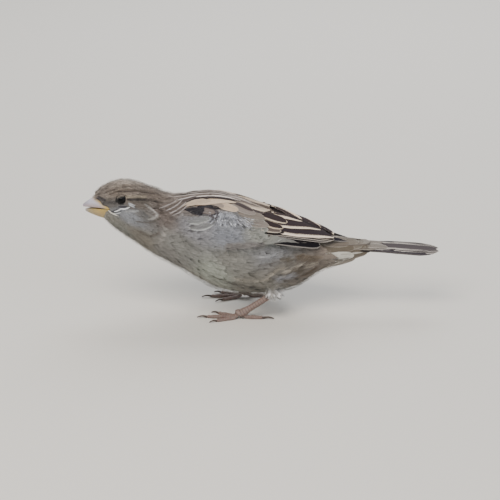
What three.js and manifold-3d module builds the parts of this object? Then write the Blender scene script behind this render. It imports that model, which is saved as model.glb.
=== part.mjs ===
// A life-size still model of a female house sparrow, crouched and stretched forward as it feeds on the ground.
// Millimetres. The bill points along -X, the bird's right side is +Y and up is +Z. The origin is on the floor,
// under the middle of the whole bird's box.

import * as THREE from "three";
import { mergeVertices } from "three/addons/utils/BufferGeometryUtils.js";
import Module from "manifold-3d";

const wasm = await Module();
wasm.setup();

// ---- Driving dimensions ----

// Free space between two neighbouring pieces.
const JOINT_GAP = 0.3;

// The feathered outline of head, neck and trunk, from the bill's base to the tips of the tail coverts: where a
// section stands, its highest and lowest point, and its half width. Each section is an oval with its widest
// point a little below the middle.
const BODY_SECTIONS = [
  { at: "bill base", x: -70.2, top: 51.4, bottom: 44.6, half: 2.8 },
  { at: "brow", x: -66, top: 55.7, bottom: 40.4, half: 6.9 },
  { at: "eye", x: -59, top: 58.2, bottom: 34.8, half: 9.0 },
  { at: "cheek", x: -52, top: 57.2, bottom: 30.0, half: 10.2 },
  { at: "nape", x: -45, top: 54.6, bottom: 25.0, half: 11.9 },
  { at: "neck", x: -37.5, top: 51.2, bottom: 21.4, half: 14.6 },
  { at: "shoulder", x: -29, top: 52.0, bottom: 16.6, half: 17.4 },
  { at: "mantle", x: -19, top: 52.6, bottom: 10.9, half: 18.6 },
  { at: "back", x: -8, top: 49.6, bottom: 8.0, half: 18.2 },
  { at: "loin", x: 4, top: 44.1, bottom: 8.2, half: 16.4 },
  { at: "rump", x: 16, top: 38.5, bottom: 11.6, half: 13.0 },
  { at: "vent", x: 27, top: 33.5, bottom: 18.4, half: 9.0 },
  { at: "tail root", x: 37, top: 31.6, bottom: 22.2, half: 6.6 },
  { at: "covert tips", x: 50, top: 29.9, bottom: 25.2, half: 4.6 },
];
const BODY_RINGS = 32;
const BODY_SIDES = 24;
const WIDEST = 0.46; // height of the widest point, as a share of the section's height
const BLUNT_END = 1.3; // length over which each end of the body rounds off
const END_SIZE = 0.35; // size of each end face, as a share of its section

// Thin cuts that part the body into head, neck, trunk and tail base: a point on the cut and its lean.
const BODY_CUTS = [
  { x: -46.5, z: 40, lean: 0.35 },
  { x: -33, z: 36, lean: 0.45 },
  { x: 24, z: 27, lean: -0.3 },
];
const BODY_NAMES = ["head", "neck", "trunk", "tail_base"];
const CUT_SIZE = 80; // height and width of a cut, wider than the bird
const CHIP_VOLUME = 5; // what a cut leaves that is smaller than this is no piece of the body

// Eye: a ball that sits deep in the head, with a small cap of it showing.
const EYE = { x: -57.9, z: 51.2, radius: 2.9, sideways: 5.95 };

// Bill: two half cones, the upper one deeper and a little longer, open by a narrow slit at the tip.
const BILL = {
  base: new THREE.Vector3(-63.4, 0, 46.4),
  upperTip: new THREE.Vector3(-74.8, 0, 46.0),
  lowerTip: new THREE.Vector3(-73.8, 0, 44.9),
  upperDepth: 6.9,
  lowerDepth: 5.2,
  halfWidth: 4.3,
  fullness: 0.56, // below 1 the outline is full and curved, at 1 a straight cone
  bluntness: 0.16, // size of the tip, as a share of the base
  pinch: 0.25, // how much narrower than deep the bill gets towards its tip
};

// Folded wing: sections along the body with the lower (leading) edge and the upper edge of the blade.
const WING_SECTIONS = [
  { x: -32, low: [16.6, 37.0], high: [15.2, 41.0], bulge: 0.5, thick: 1.0 },
  { x: -25, low: [18.7, 33.6], high: [10.6, 48.0], bulge: 2.4, thick: 1.6 },
  { x: -12, low: [19.6, 32.0], high: [6.4, 50.2], bulge: 3.2, thick: 1.6 },
  { x: 0, low: [18.3, 32.8], high: [3.2, 46.4], bulge: 3.2, thick: 1.4 },
  { x: 9, low: [16.4, 33.6], high: [1.4, 43.0], bulge: 2.6, thick: 1.3 },
  { x: 18, low: [12.8, 32.0], high: [1.0, 39.4], bulge: 1.8, thick: 1.2 },
  { x: 26, low: [9.6, 31.6], high: [1.3, 35.6], bulge: 1.1, thick: 1.0 },
  { x: 31, low: [7.4, 31.6], high: [2.4, 33.4], bulge: 0.5, thick: 0.9 },
];
const WING_CLEARANCE = 0.5; // between the trunk and the blade's inner face
const LEAST_WING = 0.7; // the blade's least thickness where it lies on the trunk
const VANE_BED = 0.35; // how far above the blade's inner face the single feathers start
const WING_RINGS = 13;
const WING_SIDES = 10;
const THIGH_CLEARANCE = 0.75; // how far a coarse copy of the body is grown to cut the thighs back

// The flight feathers whose tips step out of the folded wing: where each starts and ends along the body, how
// far up the blade (0 at the lower edge, 1 at the upper), its width, and how far it lies off the blade.
const WING_VANES = [
  { name: "secondaries", from: 8, to: 28.5, up: [0.08, 0.16], width: 4.0, lift: 0.35 },
  { name: "long tertial", from: 5, to: 31.5, up: [0.36, 0.5], width: 6.0, lift: 0.7 },
  { name: "middle tertial", from: 4, to: 26.0, up: [0.6, 0.68], width: 6.0, lift: 0.8 },
  { name: "short tertial", from: 2, to: 18, up: [0.78, 0.8], width: 5.0, lift: 0.7 },
];
// The tips of the primaries pass the blade and cross above the tail.
const PRIMARY_TIPS = [
  { to: [34.0, 4.9, 32.3], width: 3.4 },
  { to: [37.4, 3.9, 31.9], width: 3.2 },
  { to: [40.4, 3.0, 31.4], width: 3.0 },
];
const PRIMARY_ROOT = [22, 6.9, 34.2];
const PRIMARY_ARCH = 0.25; // how far a primary's middle stands off the straight line to its tip
// Outline of one flight feather: its width grows from the root, and its tip is rounded.
const VANE = { thick: 0.6, rootWidth: 0.45, spread: 2.2, tipStart: 0.72, tipWidth: 0.22 };

// Tail: twelve feathers folded into a narrow, slightly notched fan. Each pair but the middle one shows only its
// outer edge, a step lower than the pair before it.
const TAIL = {
  pairs: 6,
  root: new THREE.Vector3(31, 0, 28.4),
  tip: new THREE.Vector3(75.2, 0, 26.6),
  rootHalf: 3.6,
  tipHalf: 7.2,
  notch: 1.5,
  step: 0.3,
  thick: 1.0,
  arch: 0.7,
  groove: 0.12, // how far each step's wall leans, as a share of one feather's strip
  closing: 0.2, // how much the fan narrows over its rounded end
  lengths: 5, // how many times the plate is divided lengthways
};

// Legs, given for the left side; the right foot stands a little further back.
const LEG = {
  kneeSide: new THREE.Vector3(2.0, 10.6, 18.5),
  heel: new THREE.Vector3(6.9, 12.2, 11.8),
  ball: new THREE.Vector3(-8.1, 12.6, 2.0),
  thighRadius: 4.0,
  ankleRadius: 2.0,
  shankRadius: 1.08,
  heelKnob: 0.5,
  ballKnob: 0.45,
  flatness: 0.86, // sideways thickness of the shank, as a share of its front-to-back thickness
  back: { left: 0, right: 1.5 },
};
const FLOOR = { size: 200, depth: 20 }; // block under height 0 that cuts all soles flat
const KNOB_LENGTH = 0.12; // length of the shank's two knobs, as a share of the shank
const TOE = {
  startsAt: 1.55, // distance from the ball's middle
  startHeight: 1.5,
  height: 0.62, // height of a toe's axis above the floor, as a share of its radius
  arch: 0.1, // how far a toe arches between its two ends
  steps: 4,
  pad: 0.13, // how far the pads swell, as a share of the radius
  taper: 0.16,
  endSize: 0.7,
};
const CLAW = { radius: 0.62, taper: 0.62, arch: 0.45, tipHeight: 0.34, flatness: 0.8 };

// Toes, innermost first: bone length, direction from straight ahead, radius, number of joints, claw length.
const TOES = [
  { name: "hind", length: 7.6, turn: 176, radius: 0.92, joints: 1, claw: 4.9 },
  { name: "inner", length: 8.4, turn: -27, radius: 0.82, joints: 2, claw: 3.8 },
  { name: "middle", length: 12.2, turn: -2, radius: 0.88, joints: 3, claw: 4.5 },
  { name: "outer", length: 8.8, turn: 22, radius: 0.8, joints: 4, claw: 3.6 },
];

// ---- Colours and finishes ----

const finish = (colour, roughness = 0.85) =>
  new THREE.MeshStandardMaterial({ color: colour, roughness, metalness: 0 });
const FINISHES = {
  plumage: finish("#8d8173"),
  underparts: finish("#9a958b"),
  wing: finish("#5f4c3b", 0.7),
  tail: finish("#5a4f49", 0.7),
  eye: finish("#0b0908", 0.08),
  upperBill: finish("#9b949c", 0.4),
  lowerBill: finish("#c0a36a", 0.4),
  leg: finish("#a98578", 0.6),
  claw: finish("#4a3a33", 0.45),
};

// ---- Solids ----

// A closed geometry as a manifold-3d solid, and back.
function solid(geometry) {
  const bare = geometry.clone();
  bare.deleteAttribute("normal");
  bare.deleteAttribute("uv");
  const merged = mergeVertices(bare, 1e-4);
  return new wasm.Manifold(
    new wasm.Mesh({
      numProp: 3,
      vertProperties: new Float32Array(merged.attributes.position.array),
      triVerts: new Uint32Array(merged.index.array),
    }),
  );
}

function geometryOf(manifold) {
  const mesh = manifold.getMesh();
  const geometry = new THREE.BufferGeometry();
  geometry.setAttribute("position", new THREE.BufferAttribute(mesh.vertProperties, 3));
  geometry.setIndex(new THREE.BufferAttribute(mesh.triVerts, 1));
  geometry.computeVertexNormals();
  return geometry;
}

// A mirror image in the bird's middle plane, with its faces still pointing out.
function mirrored(geometry) {
  const image = geometry.clone().scale(1, -1, 1);
  const index = image.index.array;
  for (let i = 0; i < index.length; i += 3) {
    [index[i + 1], index[i + 2]] = [index[i + 2], index[i + 1]];
  }
  return image;
}

// A closed drum of rings whose points are moved to where `place(along, across, outward)` says: `along` runs
// from 0 to 1 from ring to ring, and (across, outward) is the point on the unit disc of that ring.
function drum(rings, sides, place) {
  const geometry = new THREE.CylinderGeometry(1, 1, 1, sides, rings);
  const position = geometry.attributes.position;
  const point = new THREE.Vector3();
  for (let i = 0; i < position.count; i++) {
    const along = 0.5 - position.getY(i);
    place(along, position.getX(i), position.getZ(i), point);
    position.setXYZ(i, point.x, point.y, point.z);
  }
  return geometry;
}

// Smooth value of `key` at x, from a list of sections ordered by x.
function smooth(sections, key, x) {
  const last = sections.length - 1;
  const value = (i) => key(sections[i]);
  const slope = (i) => {
    const a = Math.max(i - 1, 0);
    const b = Math.min(i + 1, last);
    return (value(b) - value(a)) / (sections[b].x - sections[a].x);
  };
  let i = 0;
  while (i < last - 1 && x > sections[i + 1].x) i++;
  const span = sections[i + 1].x - sections[i].x;
  const t = THREE.MathUtils.clamp((x - sections[i].x) / span, 0, 1);
  const t2 = t * t;
  const t3 = t2 * t;
  return (
    (2 * t3 - 3 * t2 + 1) * value(i) +
    (t3 - 2 * t2 + t) * span * slope(i) +
    (3 * t2 - 2 * t3) * value(i + 1) +
    (t3 - t2) * span * slope(i + 1)
  );
}

// ---- Body ----

// The oval section of the body at x: half width, the height of its widest point, and its reach up and down.
function bodySection(x) {
  const top = smooth(BODY_SECTIONS, (s) => s.top, x);
  const bottom = smooth(BODY_SECTIONS, (s) => s.bottom, x);
  const half = smooth(BODY_SECTIONS, (s) => s.half, x);
  const middle = bottom + WIDEST * (top - bottom);
  return { half, middle, up: top - middle, down: middle - bottom };
}

// Moves a point outwards in its own section until it is `gap` clear of the body.
function clearOfBody(point, gap) {
  const { half, middle, up, down } = bodySection(point.x);
  const height = point.z > middle ? up : down;
  const reach = Math.hypot(point.y / (half + gap), (point.z - middle) / (height + gap));
  if (reach < 1) {
    point.y /= reach;
    point.z = middle + (point.z - middle) / reach;
  }
}

// The whole feathered body as one closed form, grown outwards by `grow` on every side.
function bodyForm(grow = 0, rings = BODY_RINGS, sides = BODY_SIDES) {
  const first = BODY_SECTIONS[0].x - grow;
  const length = BODY_SECTIONS.at(-1).x + grow - first;
  return drum(rings, sides, (along, across, outward, point) => {
    const x = first + length * along;
    const inside = Math.min(along, 1 - along) * length;
    const round = inside < BLUNT_END ? Math.sqrt(1 - (1 - inside / BLUNT_END) ** 2) : 1;
    const shut = Math.max(round, END_SIZE);
    const { half, middle, up, down } = bodySection(x);
    const height = (outward > 0 ? up : down) * shut + grow;
    point.set(x, across * (half * shut + grow), middle + outward * height);
  });
}

// A thin slab across the body, leaning by `lean` from upright.
function slab({ x, z, lean }) {
  return new THREE.BoxGeometry(JOINT_GAP, CUT_SIZE, CUT_SIZE).rotateY(lean).translate(x, 0, z);
}

// ---- Head pieces ----

function eyeball(side, grow = 0) {
  const ball = new THREE.SphereGeometry(EYE.radius + grow, 12, 8);
  return ball.translate(EYE.x, side * EYE.sideways, EYE.z);
}

// Half of the bill: `up` is 1 for the upper half and -1 for the lower. Each half is flat at the cutting edge.
function billHalf(up, tip, depth, grow = 0) {
  return drum(8, 12, (along, across, outward, point) => {
    const taper = Math.max(Math.pow(1 - along, BILL.fullness), BILL.bluntness);
    const facing = outward * up > 0 ? Math.abs(outward) : 0;
    const centre = BILL.base.clone().lerp(tip, along);
    point.set(
      centre.x - (along > 0.5 ? grow : -grow),
      -across * (BILL.halfWidth * taper + grow) * (1 - BILL.pinch * along),
      centre.z + up * (JOINT_GAP / 2 - grow) + up * facing * (depth * taper + 2 * grow),
    );
  });
}

// ---- Wing ----

// Point on the right wing's outer face: x along the body, `up` the blade from 0 to 1, `lift` off the face.
function onWing(x, up, lift) {
  const edge = (name, k) => smooth(WING_SECTIONS, (s) => s[name][k], x);
  const low = new THREE.Vector2(edge("low", 0), edge("low", 1));
  const high = new THREE.Vector2(edge("high", 0), edge("high", 1));
  const chord = high.clone().sub(low);
  const out = new THREE.Vector2(chord.y, -chord.x).normalize();
  const bulge = smooth(WING_SECTIONS, (s) => s.bulge, x) * (1 - (2 * up - 1) ** 2);
  const at = low.addScaledVector(chord, up).addScaledVector(out, bulge + lift);
  return new THREE.Vector3(x, at.x, at.y);
}

function wingBlade() {
  const first = WING_SECTIONS[0].x;
  const length = WING_SECTIONS.at(-1).x - first;
  return drum(WING_RINGS, WING_SIDES, (along, across, outward, point) => {
    const x = first + length * along;
    const thick = smooth(WING_SECTIONS, (s) => s.thick, x);
    point.copy(onWing(x, (1 - across) / 2, (outward * thick) / 2));
    clearOfBody(point, WING_CLEARANCE + LEAST_WING * Math.max(outward, 0));
  });
}

// A flat feather along a list of points: `facing` points out of its upper face.
function vane(points, width, facing) {
  const curve = new THREE.CatmullRomCurve3(points);
  return drum(5, 6, (along, across, outward, point) => {
    const end = Math.max(along - VANE.tipStart, 0) / (1 - VANE.tipStart);
    const tip = Math.max(Math.sqrt(1 - end * end), VANE.tipWidth);
    const wide = Math.min(VANE.rootWidth + along * VANE.spread, 1) * tip;
    const axis = curve.getTangent(along);
    const sideways = new THREE.Vector3().crossVectors(facing, axis).normalize();
    const up = new THREE.Vector3().crossVectors(axis, sideways).normalize();
    point.copy(curve.getPoint(along));
    point.addScaledVector(sideways, (across * wide * width) / 2);
    point.addScaledVector(up, (outward * VANE.thick) / 2);
    clearOfBody(point, WING_CLEARANCE + VANE_BED + VANE.thick * Math.max(outward, 0));
  });
}

function wingVane({ from, to, up, width, lift }) {
  const share = (t) => THREE.MathUtils.lerp(up[0], up[1], t);
  const points = [0, 1 / 3, 2 / 3, 1].map((t) => {
    const x = THREE.MathUtils.lerp(from, to, t);
    return onWing(x, share(t), lift * (1 - t / 2));
  });
  const halfway = (from + to) / 2;
  const facing = onWing(halfway, share(0.5), 1).sub(onWing(halfway, share(0.5), 0));
  return vane(points, width, facing.normalize());
}

function primaryTip({ to, width }) {
  const root = new THREE.Vector3(...PRIMARY_ROOT);
  const tip = new THREE.Vector3(...to);
  const facing = new THREE.Vector3(0, 0.75, 0.65).normalize();
  const middle = root.clone().lerp(tip, 0.5).addScaledVector(facing, PRIMARY_ARCH);
  return vane([root, middle, tip], width, facing);
}

function rightWing() {
  let wing = solid(wingBlade());
  for (const feather of WING_VANES) {
    wing = wing.add(solid(wingVane(feather)));
  }
  for (const feather of PRIMARY_TIPS) {
    wing = wing.add(solid(primaryTip(feather)));
  }
  return wing;
}

// ---- Tail ----

// The folded tail as one stepped plate.
function tailFan() {
  const columns = 4 * TAIL.pairs;
  const geometry = new THREE.BoxGeometry(1, 1, 1, TAIL.lengths, columns, 1);
  const position = geometry.attributes.position;
  for (let i = 0; i < position.count; i++) {
    const along = position.getX(i) + 0.5;
    const column = Math.round((position.getY(i) + 0.5) * columns) - columns / 2;
    const side = Math.sign(column);
    const pair = Math.max(Math.floor((Math.abs(column) - 1) / 2), 0);
    const edge = Math.abs(column) % 2 === 0 ? 1 : TAIL.groove;
    const share = column === 0 ? 0 : (pair + edge) / TAIL.pairs;
    const closing = along === 1 ? 1 - TAIL.closing : 1;
    const half = (TAIL.rootHalf + (TAIL.tipHalf - TAIL.rootHalf) * along) * closing;
    const x = TAIL.root.x + (TAIL.tip.x - TAIL.root.x + TAIL.notch * share) * along;
    const arch = TAIL.arch * Math.sin(Math.PI * along);
    const level = THREE.MathUtils.lerp(TAIL.root.z, TAIL.tip.z, along) + arch - TAIL.step * pair;
    const face = (Math.sign(position.getZ(i)) * TAIL.thick) / 2;
    position.setXYZ(i, x, side * share * half, level + face);
  }
  return geometry;
}

// The room that the tail needs between the coverts above it and below it.
function tailRoom() {
  const length = 2 * (BODY_SECTIONS.at(-1).x - TAIL.root.x);
  const layers = TAIL.step * (TAIL.pairs - 1);
  const height = TAIL.thick + layers + 2 * JOINT_GAP;
  const room = new THREE.BoxGeometry(length, 2 * TAIL.tipHalf, height);
  room.translate(TAIL.root.x - JOINT_GAP + length / 2, 0, TAIL.root.z - layers / 2);
  return room;
}

// ---- Legs ----

// A round limb along a curve, with `radius(along)` from end to end, flattened sideways by `flat`.
function limb(curve, rings, sides, radius, flat = 1) {
  const start = curve.getTangent(0);
  const reference = Math.abs(start.y) < 0.9 ? new THREE.Vector3(0, 1, 0) : new THREE.Vector3(1, 0, 0);
  return drum(rings, sides, (along, across, outward, point) => {
    const axis = curve.getTangent(along);
    const sideways = reference.clone().addScaledVector(axis, -reference.dot(axis)).normalize();
    const up = new THREE.Vector3().crossVectors(axis, sideways);
    point.copy(curve.getPoint(along));
    point.addScaledVector(sideways, across * radius(along) * flat);
    point.addScaledVector(up, outward * radius(along));
  });
}

// A named point of the leg on the given side, moved back by `shift`.
function legPoint(name, shift, side) {
  const point = LEG[name].clone().add(shift);
  point.y *= side;
  return point;
}

// The feathered thigh, which closes to a round end just past the heel.
function thigh(shift, side, grow = 0) {
  const knee = legPoint("kneeSide", shift, side);
  const heel = legPoint("heel", shift, side);
  const pastHeel = heel.clone().lerp(knee, -0.08);
  return limb(new THREE.LineCurve3(knee, pastHeel), 6, 12, (along) => {
    const closing = Math.sqrt(Math.max(1 - Math.max(along - 0.8, 0) / 0.22, 0.12));
    return THREE.MathUtils.lerp(LEG.thighRadius, LEG.ankleRadius, along) * closing + grow;
  });
}

// The scaly shank from the heel to the ball of the foot, thicker at both joints.
function shank(shift, side, grow = 0) {
  const line = new THREE.LineCurve3(legPoint("heel", shift, side), legPoint("ball", shift, side));
  const knob = (distance) => Math.exp(-((distance / KNOB_LENGTH) ** 2));
  const radius = (along) =>
    LEG.shankRadius + LEG.heelKnob * knob(along) + LEG.ballKnob * knob(1 - along) + grow;
  return limb(line, 10, 8, radius, LEG.flatness);
}

// The line that a toe follows from the ball of the foot to where its claw begins.
function toeLine(toe, shift, side) {
  const turn = THREE.MathUtils.degToRad(toe.turn) * side;
  const ahead = new THREE.Vector3(-Math.cos(turn), Math.sin(turn), 0);
  const start = legPoint("ball", shift, side).addScaledVector(ahead, TOE.startsAt).setZ(TOE.startHeight);
  const low = toe.radius * TOE.height;
  const points = [start];
  for (let joint = 1; joint <= TOE.steps; joint++) {
    const along = joint / TOE.steps;
    const arch = TOE.arch * Math.sin(Math.PI * along);
    points.push(start.clone().addScaledVector(ahead, toe.length * along).setZ(low + arch));
  }
  return { curve: new THREE.CatmullRomCurve3(points), ahead };
}

// A toe with a round pad under each joint.
function toe(spec, shift, side) {
  const { curve } = toeLine(spec, shift, side);
  const bones = spec.joints + 1;
  const radius = (along) => {
    const pad = along === 0 ? 0 : TOE.pad * Math.cos(along * bones * 2 * Math.PI);
    const closing = along === 1 ? TOE.endSize : 1;
    return spec.radius * (1 - TOE.taper * along + pad) * closing;
  };
  return limb(curve, 2 * bones + 2, 6, radius);
}

// A claw that leaves the toe's end, arches and comes down to a blunt point just above the floor.
function claw(spec, shift, side) {
  const { curve, ahead } = toeLine(spec, shift, side);
  const start = curve.getPoint(1).addScaledVector(ahead, JOINT_GAP);
  const top = start.clone().addScaledVector(ahead, spec.claw / 2).setZ(start.z + CLAW.arch);
  const tip = start.clone().addScaledVector(ahead, spec.claw).setZ(CLAW.tipHeight);
  const line = new THREE.CatmullRomCurve3([start, top, tip]);
  return limb(line, 4, 6, (along) => CLAW.radius * (1 - CLAW.taper * along), CLAW.flatness);
}

// ---- Assembly ----

const bird = new THREE.Group();

function add(parent, name, manifold, material) {
  const mesh = new THREE.Mesh(geometryOf(manifold), material);
  mesh.name = name;
  parent.add(mesh);
  return mesh;
}

const SIDES = { left: -1, right: 1 };
const floorCut = solid(
  new THREE.BoxGeometry(FLOOR.size, FLOOR.size, FLOOR.depth).translate(0, 0, -FLOOR.depth / 2),
);
const grownBody = solid(bodyForm(THIGH_CLEARANCE, 24, 16));
const upperBill = solid(billHalf(1, BILL.upperTip, BILL.upperDepth));
const lowerBill = solid(billHalf(-1, BILL.lowerTip, BILL.lowerDepth));

function addBody() {
  let body = solid(bodyForm());
  for (const side of [-1, 1]) {
    body = body.subtract(solid(eyeball(side, JOINT_GAP)));
  }
  body = body.subtract(solid(billHalf(1, BILL.upperTip, BILL.upperDepth, JOINT_GAP)));
  body = body.subtract(solid(billHalf(-1, BILL.lowerTip, BILL.lowerDepth, JOINT_GAP)));
  body = body.subtract(solid(tailRoom()));
  for (const cut of BODY_CUTS) {
    body = body.subtract(solid(slab(cut)));
  }
  const middle = (piece) => (piece.boundingBox().min[0] + piece.boundingBox().max[0]) / 2;
  const lengthways = (a, b) => middle(a) - middle(b);
  const pieces = body.decompose().filter((piece) => piece.volume() > CHIP_VOLUME).sort(lengthways);
  pieces.forEach((piece, i) => {
    add(bird, BODY_NAMES[i], piece, i < 2 ? FINISHES.plumage : FINISHES.underparts);
  });
}

function addHeadPieces() {
  for (const [name, side] of Object.entries(SIDES)) {
    add(bird, `eye_${name}`, solid(eyeball(side)), FINISHES.eye);
  }
  add(bird, "bill_upper", upperBill, FINISHES.upperBill);
  add(bird, "bill_lower", lowerBill, FINISHES.lowerBill);
}

function addWingsAndTail() {
  const wing = geometryOf(rightWing());
  add(bird, "wing_right", solid(wing), FINISHES.wing);
  add(bird, "wing_left", solid(mirrored(wing)), FINISHES.wing);
  add(bird, "tail", solid(tailFan()), FINISHES.tail);
}

function addLeg(name, side) {
  const leg = new THREE.Group();
  bird.add(leg);
  const shift = new THREE.Vector3(LEG.back[name], 0, 0);
  const upper = solid(thigh(shift, side)).subtract(grownBody);
  const lower = solid(shank(shift, side)).subtract(solid(thigh(shift, side, JOINT_GAP)));
  add(leg, `thigh_${name}`, upper, FINISHES.underparts);
  add(leg, `shank_${name}`, lower.subtract(floorCut), FINISHES.leg);
  const taken = solid(shank(shift, side, JOINT_GAP));
  let earlier = null;
  for (const spec of TOES) {
    let piece = solid(toe(spec, shift, side)).subtract(taken).subtract(floorCut);
    if (earlier) piece = piece.subtract(earlier);
    add(leg, `toe_${spec.name}_${name}`, piece, FINISHES.leg);
    const nail = solid(claw(spec, shift, side)).subtract(floorCut);
    add(leg, `claw_${spec.name}_${name}`, nail, FINISHES.claw);
    const wide = solid(toe({ ...spec, radius: spec.radius + JOINT_GAP }, shift, side));
    earlier = earlier ? earlier.add(wide) : wide;
  }
}

addBody();
addHeadPieces();
addWingsAndTail();
for (const [name, side] of Object.entries(SIDES)) {
  addLeg(name, side);
}

// The origin goes under the middle of the finished bird.
const box = new THREE.Box3().setFromObject(bird, true);
const centre = box.getCenter(new THREE.Vector3());
bird.position.set(-centre.x, -centre.y, -box.min.z);

export default bird;
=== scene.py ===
"""A life-size female house sparrow, crouched and stretched forward: skin, coat, flight feathers, bill,
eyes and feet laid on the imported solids. Lengths in the tables are millimetres; every mesh is in metres."""

import math

import bpy
import numpy as np
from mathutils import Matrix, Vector
from mathutils.bvhtree import BVHTree
from mathutils.kdtree import KDTree


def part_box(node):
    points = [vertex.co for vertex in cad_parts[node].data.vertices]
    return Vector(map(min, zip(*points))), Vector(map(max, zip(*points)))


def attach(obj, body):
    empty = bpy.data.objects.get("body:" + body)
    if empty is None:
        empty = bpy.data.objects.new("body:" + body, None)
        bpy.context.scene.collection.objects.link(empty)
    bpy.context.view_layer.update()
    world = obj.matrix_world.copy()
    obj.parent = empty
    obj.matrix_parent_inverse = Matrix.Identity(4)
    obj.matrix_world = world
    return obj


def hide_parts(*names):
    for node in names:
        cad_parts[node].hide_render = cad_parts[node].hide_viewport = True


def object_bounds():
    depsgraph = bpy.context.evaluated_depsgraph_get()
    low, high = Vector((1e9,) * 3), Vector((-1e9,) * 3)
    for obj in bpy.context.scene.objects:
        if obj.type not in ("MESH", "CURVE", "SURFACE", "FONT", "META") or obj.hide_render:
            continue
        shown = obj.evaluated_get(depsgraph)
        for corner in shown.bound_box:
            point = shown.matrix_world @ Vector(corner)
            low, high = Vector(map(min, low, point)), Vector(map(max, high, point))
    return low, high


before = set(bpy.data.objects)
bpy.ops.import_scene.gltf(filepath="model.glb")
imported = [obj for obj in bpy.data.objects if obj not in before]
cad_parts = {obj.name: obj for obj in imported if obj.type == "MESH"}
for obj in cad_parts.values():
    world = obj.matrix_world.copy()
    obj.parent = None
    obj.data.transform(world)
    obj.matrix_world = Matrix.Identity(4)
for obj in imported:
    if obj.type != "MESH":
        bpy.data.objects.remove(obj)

bl_info = {
    "name": "House Sparrow Still Model",
    "version": (1, 0, 0),
    "blender": (4, 5, 0),
    "location": "3D View > Sidebar > Sparrow",
    "description": "Lays skin, feathers, bill, eyes and feet over the solids of a house sparrow",
    "category": "Add Mesh",
}

MM = 0.001
CAD_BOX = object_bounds()
SIDES = {"left": -1, "right": 1}
EYE_BOXES = {name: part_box(f"eye_{name}") for name in SIDES}
BILL_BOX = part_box("bill_upper")
TAIL_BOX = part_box("tail")
FLESH = ["head", "neck", "trunk", "tail_base", "thigh_left", "thigh_right"]
TOES = ["hind", "inner", "middle", "outer"]


def linear(hex_colour):
    """An sRGB hex colour as linear red, green and blue."""
    channels = [int(hex_colour[i : i + 2], 16) / 255 for i in (1, 3, 5)]
    return tuple(c / 12.92 if c <= 0.04045 else ((c + 0.055) / 1.055) ** 2.4 for c in channels)


def unit(vectors):
    return vectors / np.maximum(np.linalg.norm(vectors, axis=-1, keepdims=True), 1e-12)


def flat_on(facing, vectors):
    """The vectors laid flat on surfaces that face the given ways, one long."""
    return unit(vectors - (vectors * facing).sum(axis=-1, keepdims=True) * facing)


def ramp(values, start, reach):
    """0 up to the start, even up to 1 over the reach (backwards if it is negative), and 1 after that."""
    return np.clip((values - start) / reach, 0, 1)


def bell(values, middle, reach, power=2):
    """1 in the middle, falling off over the reach; a higher power makes it flatter and steeper."""
    return np.exp(-(((values - middle) / reach) ** power))


def spot(places, middle, reach, power=2):
    """The same over places on the body: the middle is a place, and there is a reach along and round."""
    x, turn = places.T
    return np.exp(-(((x - middle[0]) / reach[0]) ** power) - ((turn - middle[1]) / reach[1]) ** power)


def between(values, ends):
    return (values > ends[0]) & (values < ends[1])


def along_table(values, table):
    """Values read off a table of pairs, even between them."""
    return np.interp(values, *zip(*table))


# ---- Plumage: sizes, colours and markings by place on the body ----
# A place is (millimetres along the body, degrees round it: 0 on the back, 90 at the side, 180 below).
# The names of the rows say what each is; nothing else reads them.

# Height of the body's inner axis along its length, in millimetres.
AXIS = [(-75, 47), (-60, 46), (-45, 40), (-20, 31), (5, 26.5), (30, 26.5), (48, 27.5), (80, 26)]

# One contour feather at each place: length, width, distance to the next and depth of the coat.
FEATHER_SIZES = {
    "bill base": (-69, 60, 1.7, 1.2, 0.66, 0.25),
    "forehead": (-67, 20, 2.4, 1.6, 0.8, 0.4),
    "crown": (-58, 10, 3.4, 2.2, 1, 0.6),
    "lore": (-65, 65, 1.8, 1.3, 0.68, 0.3),
    "round the eye": (-58, 50, 1.9, 1.3, 0.68, 0.35),
    "cheek": (-55, 80, 3.2, 1.9, 0.95, 0.6),
    "ear": (-48, 60, 3.8, 2.2, 1.1, 0.8),
    "chin": (-64, 140, 2.4, 1.7, 0.85, 0.5),
    "throat": (-55, 160, 3.8, 2.5, 1.15, 0.8),
    "nape": (-42, 15, 4.8, 3, 1.35, 1),
    "neck side": (-42, 70, 4.8, 3, 1.35, 1),
    "neck front": (-42, 150, 5.4, 3.4, 1.5, 1.1),
    "mantle": (-22, 10, 6.6, 3.8, 1.6, 1.2),
    "scapulars": (-20, 32, 7, 4.2, 1.7, 1.3),
    "shoulder": (-27, 65, 6, 3.8, 1.6, 1.2),
    "breast": (-32, 110, 6.8, 4.2, 1.8, 1.4),
    "breast below": (-28, 165, 7, 4.6, 1.9, 1.4),
    "wing front": (-10, 60, 6.4, 4, 1.7, 1.3),
    "side": (-8, 100, 8, 4.6, 2, 1.6),
    "belly": (-2, 150, 8.4, 5.2, 2.1, 1.6),
    "back": (2, 5, 6.8, 4.2, 1.7, 1.1),
    "flank": (12, 105, 9, 4.6, 2, 1.5),
    "rump": (20, 10, 7.4, 4.6, 1.8, 1.1),
    "vent": (22, 140, 7.6, 4.6, 1.9, 1.2),
    "tail coverts": (36, 20, 7.6, 4.2, 1.9, 0.8),
    "under tail": (36, 150, 8, 4.4, 2, 0.8),
}

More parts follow.
